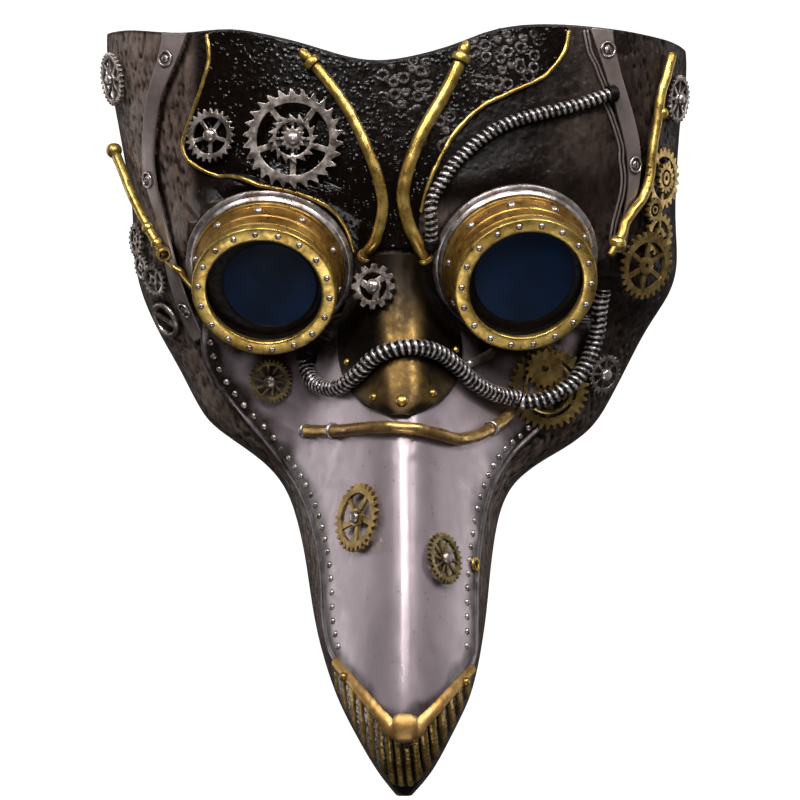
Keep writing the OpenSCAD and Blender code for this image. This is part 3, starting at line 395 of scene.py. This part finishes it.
PAINTS = {
    "shell": shell_paint(),
    "black_panel": black_paint(),
    "grey_strap": strap_paint(),
    "gilt": painted_metal("aged_gold", "#c4a75d", "#927438", "#180c04", blotch=120,
                          smudge=0.75),
    "old_brass": painted_metal("dark_brass", "#5f4a23", "#3a2910", "#0e0703", blotch=110,
                               rough=(0.34, 0.52), shaded=True),
    "copper_brass": painted_metal("copper_brass", "#b3915a", "#8d6c40", "#2a170c"),
    "lip": painted_metal("lip_gold", "#b8935c", "#97733c", "#2a170a", rough=(0.38, 0.55),
                         smudge=0.3, reach=1.0 * MM),
    "jaw": jaw_paint(),
    "pewter": painted_metal("bright_pewter", "#c0b5b4", "#85786f", "#15100f", blotch=160,
                            smudge=0.8),
    "barrel": painted_metal("stained_gold", "#b58d45", "#84602b", "#1b0f06", blotch=70, smudge=0.75,
                            reach=2.6 * MM),
    "beak_silver": beak_paint(),
    "silver_wheel": painted_metal("cast_silver", "#b6aaa2", "#645952", "#090403", blotch=240,
                                  reach=2.4 * MM),
    "brass_wheel": painted_metal("cast_brass", "#b1945a", "#836a3a", "#120b05", blotch=200,
                                 reach=2.2 * MM),
    "antique_wheel": painted_metal("antique_brass", "#988559", "#665534", "#0e0a07", blotch=220,
                                   reach=2.2 * MM),
    "hose": hose_paint(),
    "black_trim": trim_paint(),
    "lens": lens_paint(),
}
NODE_PAINT = {
    "left_lens_keeper": "black_trim", "right_lens_keeper": "black_trim",
    "left_barrel": "barrel", "right_barrel": "barrel",
}
SLOT_OF = {part["node"]: part["material_slot"] for part in frame["record"]["subparts"]}


# ---------------------------------------------------------------- mesh helpers
WELD_REACH = 0.01 * MM
SHARP_ANGLE = math.radians(50)
RIM_ANGLE = math.radians(55)
NEAR_REACH = 8 * MM


def welded(node):
    """A bmesh copy of a CAD node with its split corners joined."""
    bm = bmesh.new()
    bm.from_mesh(NODES[node].data)
    bmesh.ops.remove_doubles(bm, verts=bm.verts, dist=WELD_REACH)
    return bm


def search_tree(node):
    bm = welded(node)
    tree = BVHTree.FromBMesh(bm)
    bm.free()
    return tree


def to_object(name, bm):
    mesh = bpy.data.meshes.new(name)
    bm.to_mesh(mesh)
    bm.free()
    for polygon in mesh.polygons:
        polygon.use_smooth = True
    return link(bpy.data.objects.new(name, mesh))


def settle(obj):
    """Applies an object's modifiers to its mesh."""
    graph = bpy.context.evaluated_depsgraph_get()
    mesh = bpy.data.meshes.new_from_object(obj.evaluated_get(graph))
    obj.modifiers.clear()
    obj.data = mesh
    return obj


def smooth_copy(name, node, levels, crease=0.6):
    """A subdivided copy of a faceted CAD node, with its sharp rims held by creases."""
    bm = welded(node)
    bmesh.ops.join_triangles(
        bm, faces=bm.faces, angle_face_threshold=math.radians(40),
        angle_shape_threshold=math.radians(60),
    )
    layer = bm.edges.layers.float.get("crease_edge") or bm.edges.layers.float.new("crease_edge")
    for edge in bm.edges:
        if len(edge.link_faces) == 2 and edge.calc_face_angle(0) > SHARP_ANGLE:
            edge[layer] = crease
    obj = to_object(name, bm)
    obj.modifiers.new("subdivide", "SUBSURF").levels = levels
    return settle(obj)


def points_of(obj):
    co = np.empty(len(obj.data.vertices) * 3)
    obj.data.vertices.foreach_get("co", co)
    return co.reshape(-1, 3)


def normals_of(obj):
    no = np.empty(len(obj.data.vertices) * 3)
    obj.data.vertices.foreach_get("normal", no)
    return no.reshape(-1, 3)


def move_points(obj, co):
    obj.data.vertices.foreach_set("co", co.ravel())
    obj.data.update()


def carry(obj, name, values):
    """Stores a number at each point for the material to read."""
    layer = obj.data.attributes.new(name, "FLOAT", "POINT")
    layer.data.foreach_set("value", np.asarray(values, np.float32))


def put(obj, paint, replaces=()):
    """Paints a piece of the mask body, hangs it on the mask and hides the CAD nodes it replaces."""
    obj.data.materials.clear()
    obj.data.materials.append(PAINTS[paint])
    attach(obj, "mask")
    if replaces:
        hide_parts(*replaces)
    return obj


def step(x, low, high):
    """0 up to low, 1 from high, and smooth between."""
    t = np.clip((x - low) / (high - low), 0, 1)
    return t * t * (3 - 2 * t)


def cell_distance(co, scale, seed=0.0):
    """Distance to the nearest scattered point, in cells, at each vertex."""
    shift = Vector((seed, seed * 1.7, seed * 0.6))
    return np.array([noise.voronoi(Vector(p) + shift)[0][0] for p in co * scale])


def cloud(co, scale, seed=0.0):
    shift = Vector((seed, seed * 1.3, seed * 0.7))
    return np.array([noise.noise(Vector(p) + shift) for p in co * scale])


def distance_to(co, nodes, from_right=False):
    """How far each point is from the nearest of some CAD nodes, or from their right side only."""
    best = np.full(len(co), 1.0)
    for node in nodes:
        tree = search_tree(node)
        low, high = (np.array(corner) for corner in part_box(node))
        inside = np.all((co > low - NEAR_REACH) & (co < high + NEAR_REACH), axis=1)
        for i in np.nonzero(inside)[0]:
            found = tree.find_nearest(Vector(co[i]))
            if not from_right or co[i][0] > found[0][0] + 0.3 * MM:
                best[i] = min(best[i], found[3])
    return best


# ---------------------------------------------------------------- tubes
TUBE_SPACING = 0.4 * MM
COIL_DEPTH = 0.2


def smooth_path(points, spacing):
    """Evenly spaced points on a smooth curve through the given ones."""
    ends = [2 * points[0] - points[1]] + list(points) + [2 * points[-1] - points[-2]]
    dense = []
    for a, b, c, d in zip(ends, ends[1:], ends[2:], ends[3:]):
        for k in range(12):
            t = k / 12
            dense.append(
                0.5 * (2 * b + (c - a) * t + (2 * a - 5 * b + 4 * c - d) * t ** 2
                       + (3 * b - a - 3 * c + d) * t ** 3)
            )
    dense.append(points[-1])
    dense = np.array([list(p) for p in dense])
    run = np.concatenate([[0], np.cumsum(np.linalg.norm(np.diff(dense, axis=0), axis=1))])
    count = max(2, round(run[-1] / spacing))
    at = np.linspace(0, run[-1], count + 1)
    return np.stack([np.interp(at, run, dense[:, k]) for k in range(3)], axis=1), at


def centreline(node):
    """The middle of each ring of a CAD tube, from one end to the other, and its radii."""
    bm = welded(node)
    caps = bm.copy()
    bmesh.ops.dissolve_limit(
        caps, angle_limit=math.radians(0.2), verts=caps.verts, edges=caps.edges
    )
    cap = max(caps.faces, key=lambda face: len(face.verts))
    corners = {tuple(round(c / MM, 2) for c in v.co) for v in cap.verts}
    caps.free()
    ring = [v for v in bm.verts if tuple(round(c / MM, 2) for c in v.co) in corners]
    seen = set(ring)
    middles, radii = [], []
    while ring:
        middle = sum((v.co for v in ring), Vector()) / len(ring)
        middles.append(middle.copy())
        radii.append(sum((v.co - middle).length for v in ring) / len(ring))
        following = []
        for v in ring:
            for edge in v.link_edges:
                other = edge.other_vert(v)
                if other not in seen:
                    seen.add(other)
                    following.append(other)
        ring = following
    bm.free()
    return middles, radii


def tube(name, path, radius_at, sides, ridge_at=None, flat=1.0):
    """A closed tube along an even path. radius_at(i, angle) gives its radius."""
    bm = bmesh.new()
    rings, ridges = [], []
    last = len(path) - 1
    up = Vector((0, -1, 0))
    for i, p in enumerate(path):
        ahead = Vector(path[min(i + 1, last)] - path[max(i - 1, 0)]).normalized()
        side = ahead.cross(up).normalized()
        over = side.cross(ahead)
        ring = []
        for k in range(sides):
            a = 2 * math.pi * k / sides
            r = float(radius_at(i, a))
            ring.append(bm.verts.new(
                Vector(p) + r * (math.cos(a) * side + flat * math.sin(a) * over)))
            ridges.append(ridge_at(i, a) if ridge_at else 0)
        rings.append(ring)
    for low, high in zip(rings, rings[1:]):
        bridge(bm, low, high)
    bm.faces.new(list(reversed(rings[0])))
    bm.faces.new(rings[-1])
    bmesh.ops.recalc_face_normals(bm, faces=bm.faces)
    obj = to_object(name, bm)
    carry(obj, "ridge", ridges)
    return obj


def rounded_ends(at, reach, least):
    """The share of the full radius along a path: 1 but at its two ends, which are round."""
    to_end = np.clip(np.minimum(at, at[-1] - at) / reach, least, 1)
    return np.sqrt(1 - (1 - to_end) ** 2)


def smooth_pipe(name, node, paint, sides=28, waver=0.05, scale=260):
    """A pipe on the CAD tube's own line, with a slightly uneven hand-cast surface."""
    middles, radii = centreline(node)
    path, at = smooth_path(middles, TUBE_SPACING)
    share = np.linspace(0, 1, len(path))
    radius = np.interp(share, np.linspace(0, 1, len(radii)), radii)
    radius = radius * rounded_ends(at, radius, 0.02)

    def radius_at(i, a):
        spot = Vector(path[i]) * scale + Vector((math.cos(a), 0, math.sin(a))) * 0.4
        return radius[i] * (1 + waver * noise.noise(spot))

    put(tube(name, path, radius_at, sides), paint, replaces=[node])


def coiled_hose(name, node, pitch):
    """A hose of wound wire: one ridge a turn, dark between the turns."""
    middles, radii = centreline(node)
    path, at = smooth_path(middles, pitch * MM / 8)
    radius = sum(radii) / len(radii)

    def wave(i, a):
        turn = at[i] / (pitch * MM) + a / (2 * math.pi)
        return 0.5 + 0.5 * math.cos(2 * math.pi * turn)

    def radius_at(i, a):
        crest = wave(i, a) ** 0.7
        return radius * (1 - COIL_DEPTH + COIL_DEPTH * 1.25 * crest)

    obj = tube(name, path, radius_at, 24, lambda i, a: step(wave(i, a), 0.5, 0.92))
    put(obj, "hose", replaces=[node])


# ---------------------------------------------------------------- skins
# CAD nodes that lie close on the shell; the shell round them is darkened, painted shade that is
# partly a dark wash
SHADE_SPOTS = [
    "left_base_ring", "right_base_ring", "left_temple_pipe", "right_temple_pipe", "lower_hose",
    "upper_hose", "beak_plate", "right_temple_train", "left_temple_train", "right_cheek_gear",
    "left_temple_wheel", "right_temple_wheel", "right_cheek_wheel",
]
# x, z and radius of each patch, in millimetres
BUBBLE_SPOTS = [(36, 76, 15), (3, 68, 11), (14, 52, 9), (58, 60, 9)]


def pebbles(co):
    """Small round bumps of uneven height, 0 to 1."""
    far = cell_distance(co, 1 / (2.1 * MM))
    tall = 0.5 + 0.9 * cloud(co, 1 / (6 * MM), 3)
    fine = cell_distance(co, 1 / (1.3 * MM), 5)
    dome = np.clip(1 - (far / 0.42) ** 2, 0, 1) * np.clip(tall, 0.1, 1)
    return dome + 0.28 * np.clip(1 - (fine / 0.5) ** 2, 0, 1) * np.clip(0.6 - tall, 0, 1)


def bubbles(co):
    """Raised rings of burst bubbles in a few patches: (ring height, patch weight)."""
    far = cell_distance(co, 1 / (4.0 * MM), 9)
    patch = np.zeros(len(co))
    for x, z, r in BUBBLE_SPOTS:
        off = np.hypot(co[:, 0] - x * MM, co[:, 2] - z * MM) / (r * MM)
        patch = np.maximum(patch, 1 - step(off, 0.6, 1.05))
    ring = np.exp(-((far - 0.4) / 0.065) ** 2)
    return ring, patch


def make_shell():
    """The hammered shell: a black pebbled ground above, painted shade round what lies on it (partly
    dark wash).
    """
    skin = smooth_copy("shell_skin", "face_shell", 3, crease=0.5)
    co, no = points_of(skin), normals_of(skin)
    x, z = co[:, 0] / MM, co[:, 2] / MM
    front = step(-no[:, 1], 0.0, 0.35)
    tall = co * np.array([1, 1, 0.45])
    low = step(z, -20, -45)
    far = low * cell_distance(co, 1 / (3.0 * MM))
    far += (1 - low) * cell_distance(tall, 1 / (1.9 * MM))
    deep = 0.75 + 0.9 * cloud(co, 1 / (11 * MM), 2)
    pit = (1 - step(far, 0.22, 0.4)) * np.clip(deep, 0.1, 1)
    ripple = cloud(tall, 1 / (1.5 * MM), 4)
    # Black pebbled ground round the goggles and under the forehead panel.
    ground = step(z, 16, 30) * (1 - step(x, 66, 76)) * step(x, -73, -67)
    bump = pebbles(co)
    ring, patch = bubbles(co)
    hammered = -0.6 * pit + 0.3 * ripple - 0.1
    pebbled = 0.2 * bump * (1 - patch) + 0.3 * ring * patch - 0.15
    pebbled += 0.24 * ripple * step(x, 15, 50)
    lift = front * ((1 - ground) * hammered + ground * pebbled)
    lift -= (1 - front) * 0.03 * (1 + ripple)
    # Under the plates and rings the shell stays low, so that no bump comes through them.
    near = distance_to(co, SHADE_SPOTS)
    open_air = step(near, 0.7 * MM, 1.5 * MM)
    lift = lift * open_air - 0.3 * front * (1 - open_air)
    move_points(skin, co + no * (lift * MM)[:, None])
    worn_in = np.clip(1.3 * pit + 1.7 * np.clip(-ripple - 0.08, 0, 1), 0, 1)
    carry(skin, "pit", worn_in * front * (1 - ground) * 0.94)
    # Painted shade round the parts lying on the shell, partly a dark wash; a painted shadow along
    # the left strap's right edge; painted shade round the jaw plate.
    wash_and_shade = 0.85 * (1 - step(near, 0.4 * MM, 3.0 * MM))
    strap_shadow = 1 - step(distance_to(co, ["left_temple_strap"], from_right=True), 1.5 * MM, 4 * MM)
    jaw = 1 - step(distance_to(co, ["jaw_grille"]), 3.2 * MM, 4.2 * MM)
    inside = 0.6 * (1 - step(-no[:, 1], 0.05, 0.4))
    outline = 0.8 * (1 - step(rim_distance(skin, "face_shell"), 0.7 * MM, 1.8 * MM))
    # The paint is lightest at the left edge and darkest on the right cheek.
    across = 0.17 + 0.22 * step(x, -92, -72) + 0.5 * step(x, 10, 60) * step(z, -60, -20)
    across += 0.1 * step(z, -20, -60)
    across += 0.15 * cloud(co, 1 / (18 * MM), 8)
    dark_ground = ground * (1 - 0.3 * step(x, 45, 70))
    # The black ground is the shell's own paint; the darkening round the parts is painted shade.
    dark_paint_and_shade = front * np.maximum.reduce([dark_ground, wash_and_shade, strap_shadow, jaw])
    tone_and_shade = np.maximum.reduce([across, dark_paint_and_shade, inside, outline])
    carry(skin, "tone_and_shade", np.clip(tone_and_shade, 0, 1))
    put(skin, "shell", replaces=["face_shell"])


def make_forehead():
    """The glossy black panel: pebbles, with patches of burst bubbles."""
    skin = smooth_copy("forehead_skin", "forehead_panel", 4, crease=0.5)
    co, no = points_of(skin), normals_of(skin)
    front = step(-no[:, 1], 0.2, 0.5)
    ring, patch = bubbles(co)
    bump = pebbles(co)
    lift = front * (0.14 * bump * (1 - patch) + 0.34 * ring * patch - 0.06)
    move_points(skin, co + no * (lift * MM)[:, None])
    # The bubble rings' crests carry a painted reflection, lighter grey in the material.
    carry(skin, "ring", front * patch * np.clip(ring, 0, 1) * 0.5)
    put(skin, "black_panel", replaces=["forehead_panel"])


def rim_distance(obj, node):
    """How far each point is from the sharp outline of a plate's front."""
    bm = welded(node)
    rim = set()
    for edge in bm.edges:
        if len(edge.link_faces) == 2 and edge.calc_face_angle(0) > RIM_ANGLE:
            a, b = (v.co for v in edge.verts)
            count = max(1, int((b - a).length / (0.8 * MM)))
            for k in range(count + 1):
                rim.add(tuple(a.lerp(b, k / count)))
    bm.free()
    tree = KDTree(len(rim))
    for i, p in enumerate(sorted(rim)):
        tree.insert(p, i)
    tree.balance()
    return np.array([tree.find(p)[2] for p in points_of(obj)])


def make_beak():
    """The silver plate: a raised lip and a groove along its edge, smoked dark inside them."""
    skin = smooth_copy("beak_skin", "beak_plate", 3, crease=0.7)
    far = rim_distance(skin, "beak_plate")
    co, no = points_of(skin), normals_of(skin)
    front = step(-no[:, 1], 0.1, 0.4)
    lip = 0.45 * np.exp(-((far - 0.9 * MM) / (0.7 * MM)) ** 2)
    groove = -0.25 * np.exp(-((far - 2.2 * MM) / (0.5 * MM)) ** 2)
    wave = 0.06 * cloud(co, 1 / (7 * MM), 3)
    move_points(skin, co + no * (front * (lip + groove + wave) * MM)[:, None])
    low = step(co[:, 2] / MM, -140, -60)
    drift = (1 + 0.5 * cloud(co, 1 / (9 * MM), 7)) * MM
    smoke = (1 - step(far, 4.5 * drift, (7.5 + 4 * low) * drift)) * (0.75 + 0.25 * low)
    bright = 0.5 * np.exp(-((far - 1.2 * MM) / (0.3 * MM)) ** 2)
    carry(skin, "rim", np.clip(smoke - bright, 0, 1) * front)
    put(skin, "beak_silver", replaces=["beak_plate"])


def make_nose():
    """The brass nose, dark at its sides, its top and its rim; the dark sides and top are painted
    shade.
    """
    skin = smooth_copy("nose_skin", "nose_plate", 3, crease=0.6)
    far = rim_distance(skin, "nose_plate")
    co, no = points_of(skin), normals_of(skin)
    wave = 0.05 * cloud(co, 1 / (5 * MM), 1)
    move_points(skin, co + no * (wave * MM)[:, None])
    x, z = co[:, 0] / MM, co[:, 2] / MM
    # Painted shade: darker at the sides under the goggles and at the top between the brow pipes.
    sides = step(np.abs(x - 1.5), 3, 9.5) * step(z, -38, -27)
    top = 0.95 * step(z, -22, 0)
    rim = 0.8 * (1 - step(far, 0.6 * MM, 2.4 * MM))
    carry(skin, "tone_and_shade", np.clip(np.maximum.reduce([sides, top, rim]), 0, 1))
    put(skin, "old_brass", replaces=["nose_plate"])


def make_strap_skins():
    for name, node in [
        ("left_strap_skin", "left_temple_strap"),
        ("right_strap_skin", "right_temple_strap"),
    ]:
        skin = smooth_copy(name, node, 3)
        co, no = points_of(skin), normals_of(skin)
        wave = 0.05 * cloud(co, 1 / (5 * MM), 1) + 0.03 * cloud(co, 1 / (1.6 * MM), 6)
        move_points(skin, co + no * (wave * MM)[:, None])
        put(skin, "grey_strap", replaces=[node])


def shell_hit(tree, x, z):
    """The shell's front face at (x, z) in millimetres, or nothing past its edge."""
    place, normal = tree.ray_cast(Vector((x, -300, z)) * MM, Vector((0, 1, 0)))[:2]
    return (place, normal) if place else None


def surface_line(tree, spots, height):
    """Points a little above the shell at [x, z] spots, up to where the shell ends."""
    line = []
    for x, z in spots:
        hit = shell_hit(tree, x, z)
        if not hit:
            break
        line.append(hit[0] + hit[1] * height * MM)
    return line


def tube_on(name, line, radius, paint, waver=0.06):
    """A thin uneven tube along a line of points, its radius in millimetres."""
    path, at = smooth_path(line, TUBE_SPACING)
    taper = rounded_ends(at, radius * MM, 0.05)

    def radius_at(i, a):
        lump = noise.noise(Vector(path[i]) * 400 + Vector((math.cos(a), 0, math.sin(a))) * 0.5)
        return radius * MM * taper[i] * (1 + waver * lump)

    put(tube(name, path, radius_at, 16), paint)


# millimetres, but for the lean, which is sideways drift per millimetre down
RIB_PITCH = 2.9
RIB_LEAN = 0.1
JAW_RIM = 3.0
JAW_COLUMN = 0.24
JAW_STEP = 0.25
NUB_HALF = 4.6
JAW_ROWS = 110
JAW_SMOOTHING = 6


def lip_line(tree):
    """The lip's two straight arms and its level middle, laid on the shell."""
    points = sorted(centreline("beak_lip")[0], key=lambda p: p.x)
    left, right = points[0] / MM, points[-1] / MM
    middle = min(points, key=lambda p: p.z) / MM
    x = np.arange(left.x, right.x, 0.8)
    corners = [left.x, middle.x - 3.4, middle.x + 3.4, right.x]
    z = np.interp(x, corners, [left.z, middle.z + 0.6, middle.z + 0.6, right.z])
    return surface_line(tree, list(zip(x, z - 0.7)), 1.0), middle.x


def make_lip(tree):
    """The gold band over the jaw; gives its line in millimetres and its middle."""
    line, middle = lip_line(tree)
    path, at = smooth_path(line, 0.3 * MM)
    off = np.abs(path[:, 0] / MM - middle)
    radius = 2.95 - 0.035 * off + 2.0 * (1 - step(off, 1.6, NUB_HALF + 0.8))
    radius = radius * rounded_ends(at, 2 * MM, 0.03) * MM

    def radius_at(i, a):
        lump = noise.noise(Vector(path[i]) * 200 + Vector((math.cos(a), 0, math.sin(a))) * 0.4)
        return radius[i] * (1 + 0.05 * lump)

    lip = tube("lip_band", path, radius_at, 40, flat=0.62)
    put(lip, "lip", replaces=["beak_lip"])
    return np.array([list(p) for p in line]) / MM, middle


def make_jaw(tree, lip, middle):
    """The ribbed plate from the lip down to the rim of the beak's tip."""
    columns = []
    for x in np.arange(lip[0, 0] + 0.6, lip[-1, 0] - 0.6, JAW_COLUMN):
        top = float(np.interp(x, lip[:, 0], lip[:, 2]))
        bottom = top
        while shell_hit(tree, x, bottom - JAW_STEP):
            bottom -= JAW_STEP
        if top - bottom > JAW_RIM + 0.5:
            columns.append((x, top, bottom + JAW_RIM))
    x, top, bottom = np.array(columns).T
    blur = np.ones(7) / 7
    bottom = np.convolve(np.pad(bottom, 3, mode="edge"), blur, mode="valid")
    share = np.linspace(0, 1, JAW_ROWS)[None, :]
    z = top[:, None] + (bottom - top)[:, None] * share
    x = np.repeat(x[:, None], JAW_ROWS, axis=1)
    hits = [shell_hit(tree, a, b) for a, b in zip(x.ravel(), z.ravel())]
    place = np.array([list(hit[0]) for hit in hits])
    out = np.array([list(hit[1]) for hit in hits])
    for _ in range(JAW_SMOOTHING):
        soft = place[:, 1].reshape(x.shape)
        soft = (np.roll(soft, 1, 0) + np.roll(soft, -1, 0) + 2 * soft) / 4
        soft[0], soft[-1] = place[:, 1].reshape(x.shape)[[0, -1]]
        place[:, 1] = soft.ravel()
    down = (top[:, None] - z).ravel()
    left = (z - bottom[:, None]).ravel()
    x, z = x.ravel(), z.ravel()
    wobble = cloud(place, 1 / (6 * MM), 2)
    phase = (x - middle - RIB_LEAN * down) / RIB_PITCH + 0.1 * wobble
    off = 2 * np.abs(phase - np.round(phase))
    start = step(down, 2.4, 3.6)
    groove = step(off, 0.4, 0.78) * start
    cavity = np.exp(-((x - middle) / 3.4) ** 4) * step(down, 4.2, 5.0)
    cavity *= 1 - step(down, 6.0, 6.8)
    groove = np.maximum(groove, cavity)
    silver = step(off, 0.6, 0.85) * start * step(middle - x, 5, 9)
    edge = step(left, 0.0, 1.6)
    fine = cloud(place, 1 / (0.9 * MM), 6)
    height = edge * (0.15 + 0.85 * (1 - groove) + 0.35 * silver + 0.16 * fine) - 0.3 * (1 - edge)
    bm = bmesh.new()
    spots = [bm.verts.new(Vector(p) + Vector(n) * h * MM)
             for p, n, h in zip(place, out, height)]
    for i in range(len(top) - 1):
        for j in range(JAW_ROWS - 1):
            a, b = i * JAW_ROWS + j, (i + 1) * JAW_ROWS + j
            bm.faces.new((spots[a], spots[a + 1], spots[b + 1], spots[b]))
    plate = to_object("jaw_ribs", bm)
    carry(plate, "groove", np.clip(np.maximum(groove, 0.9 * (1 - edge)), 0, 1))
    carry(plate, "silver", silver)
    put(plate, "jaw", replaces=["jaw_grille"])


def ring_path(middle, axis, radius, count):
    """Points on a circle about an axis."""
    across = axis.orthogonal().normalized()
    other = axis.cross(across)
    return [
        middle + radius * (math.cos(a) * across + math.sin(a) * other)
        for a in np.linspace(0, 2 * math.pi, count, endpoint=False)
    ]


WALL_SIDES = 72
# radius in bores, lift in millimetres, and the share of the sideways slide, from the lens out
WALL_RINGS = [(1.1, 1.2, 0.0), (1.0, 1.2, 0.1), (0.9, 0.9, 0.8), (0.86, 0.5, 1.0), (0.85, 0.2, 1.0)]


def make_lens_shadow_walls():
    """A black tapering wall between each bezel and its lens, deeper on one side; partly a painted
    shadow of the bezel.
    """
    for side, shift in (("left", Vector((1.5, 0, -0.8))), ("right", Vector((0.8, 0, 0.6)))):
        low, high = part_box(f"{side}_lens")
        lens = (low + high) / 2
        bezel = sum(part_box(f"{side}_bezel"), Vector()) / 2
        axis = (bezel - lens).normalized()
        bore = 0.5 * (high.z - low.z)
        bm = bmesh.new()
        rows = []
        for radius, lift, slide in WALL_RINGS:
            middle = lens + axis * lift * MM + shift * slide * MM
            ring = ring_path(middle, axis, bore * radius, WALL_SIDES)
            rows.append([bm.verts.new(p) for p in ring])
        for outer, inner in zip(rows, rows[1:]):
            bridge(bm, outer, inner)
        bmesh.ops.recalc_face_normals(bm, faces=bm.faces)
        # The black wall stands partly for the barrel's inside and partly for the bezel's shadow on
        # the lens: painted shadow.
        put(to_object(f"{side}_lens_shadow_wall", bm), "black_trim")


def loose_parts(node):
    """The middle and half width of each separate piece in a CAD node."""
    bm = welded(node)
    left = set(bm.verts)
    found = []
    while left:
        stack = [left.pop()]
        part = []
        while stack:
            v = stack.pop()
            part.append(v.co.copy())
            for edge in v.link_edges:
                other = edge.other_vert(v)
                if other in left:
                    left.discard(other)
                    stack.append(other)
        middle = sum(part, Vector()) / len(part)
        found.append((middle, max((p - middle).length for p in part)))
    bm.free()
    return sorted(found, key=lambda item: tuple(item[0]))


COLLAR_GAP = 0.75 * MM
COLLAR_THICK = 0.42 * MM
COLLAR_ROWS = 40
COLLAR_SIDES = 12


def make_screw_collars(tree):
    """A rubbed collar round each strap screw."""
    for k, (middle, half) in enumerate(loose_parts("strap_screws")):
        hit = tree.find_nearest(middle)
        axis = (middle - hit[0]).normalized()
        turns = np.linspace(0, 2 * math.pi, COLLAR_SIDES, False)
        tilt = [(math.cos(a), math.sin(a)) for a in turns]
        bm = bmesh.new()
        rows = []
        for p in ring_path(middle, axis, half + COLLAR_GAP, COLLAR_ROWS):
            out = (p - middle).normalized()
            rows.append([bm.verts.new(p + COLLAR_THICK * (c * out + s * axis)) for c, s in tilt])
        for row, following in zip(rows, rows[1:] + rows[:1]):
            bridge(bm, row, following)
        bmesh.ops.recalc_face_normals(bm, faces=bm.faces)
        put(to_object(f"screw_collar_{k}", bm), "pewter")


def make_bar_tail(tree):
    """The left temple pipe's tail, from its lower end to the goggle."""
    points = centreline("left_temple_pipe")[0]
    start = min(points, key=lambda p: p.z) / MM
    end_x = (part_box("left_base_ring")[0] / MM).x + 2.5
    spots = [
        (start.x + (end_x - start.x) * t, start.z - 8 * t - 3 * t * t)
        for t in np.linspace(0, 1, 16)
    ]
    tube_on("temple_bar_tail", surface_line(tree, spots, 1.0), 1.25, "gilt", waver=0.2)


PIPING_RADIUS = 0.42
PIPING_STEP = 4


def make_piping(tree):
    """Two thin cords along the inner edge of the right strap."""
    co = np.array([v.co for v in NODES["right_temple_strap"].data.vertices]) / MM
    edge = []
    for z in range(14, 87, PIPING_STEP):
        near = co[np.abs(co[:, 2] - z) < PIPING_STEP]
        if len(near):
            edge.append((float(near[:, 0].min()), z))
    for name, out in (("piping_outer", 0.9), ("piping_inner", 2.1)):
        line = surface_line(tree, [(x - out, z) for x, z in edge], 0.35)
        tube_on(name, line, PIPING_RADIUS, "grey_strap")


def make_pipes():
    for side in ("left", "right"):
        smooth_pipe(f"{side}_wire_run", f"{side}_gold_wire", "gilt", 16, waver=0.25, scale=300)
    for side in ("left", "right"):
        smooth_pipe(f"{side}_brow_tube", f"{side}_brow_pipe", "gilt")
    for side in ("left", "right"):
        smooth_pipe(f"{side}_temple_tube", f"{side}_temple_pipe", "gilt", waver=0.1)
    smooth_pipe("mouth_tube", "mouth_pipe", "copper_brass", waver=0.08)
    smooth_pipe("cheek_tube", "cheek_bar", "pewter")
    coiled_hose("upper_coil", "upper_hose", 2.15)
    coiled_hose("lower_coil", "lower_hose", 2.2)


make_shell()
make_forehead()
make_beak()
make_nose()
make_strap_skins()
SHELL_TREE = search_tree("face_shell")
make_jaw(SHELL_TREE, *make_lip(SHELL_TREE))
make_lens_shadow_walls()
make_screw_collars(SHELL_TREE)
make_bar_tail(SHELL_TREE)
make_piping(SHELL_TREE)
make_pipes()

# ---------------------------------------------------------------- CAD nodes that stay
BEVEL_MM = {"silver_wheel": 0.26, "brass_wheel": 0.26, "antique_wheel": 0.24, "gilt": 0.14}
OTHER_BEVEL_MM = 0.1


def dress_cad_nodes():
    """Gives the CAD nodes that are still shown their paint and a fine bevel."""
    for name, obj in NODES.items():
        if obj.hide_render:
            continue
        slot = SLOT_OF[name]
        for place in obj.material_slots:
            place.material = PAINTS[NODE_PAINT.get(name, slot)]
        weld = obj.modifiers.new("weld", "WELD")
        weld.merge_threshold = WELD_REACH
        bevel = obj.modifiers.new("soft_edges", "BEVEL")
        bevel.width = BEVEL_MM.get(slot, OTHER_BEVEL_MM) * MM
        bevel.segments = 2
        bevel.limit_method = "ANGLE"
        bevel.angle_limit = math.radians(35)
        obj.modifiers.new("shading", "WEIGHTED_NORMAL")


dress_cad_nodes()
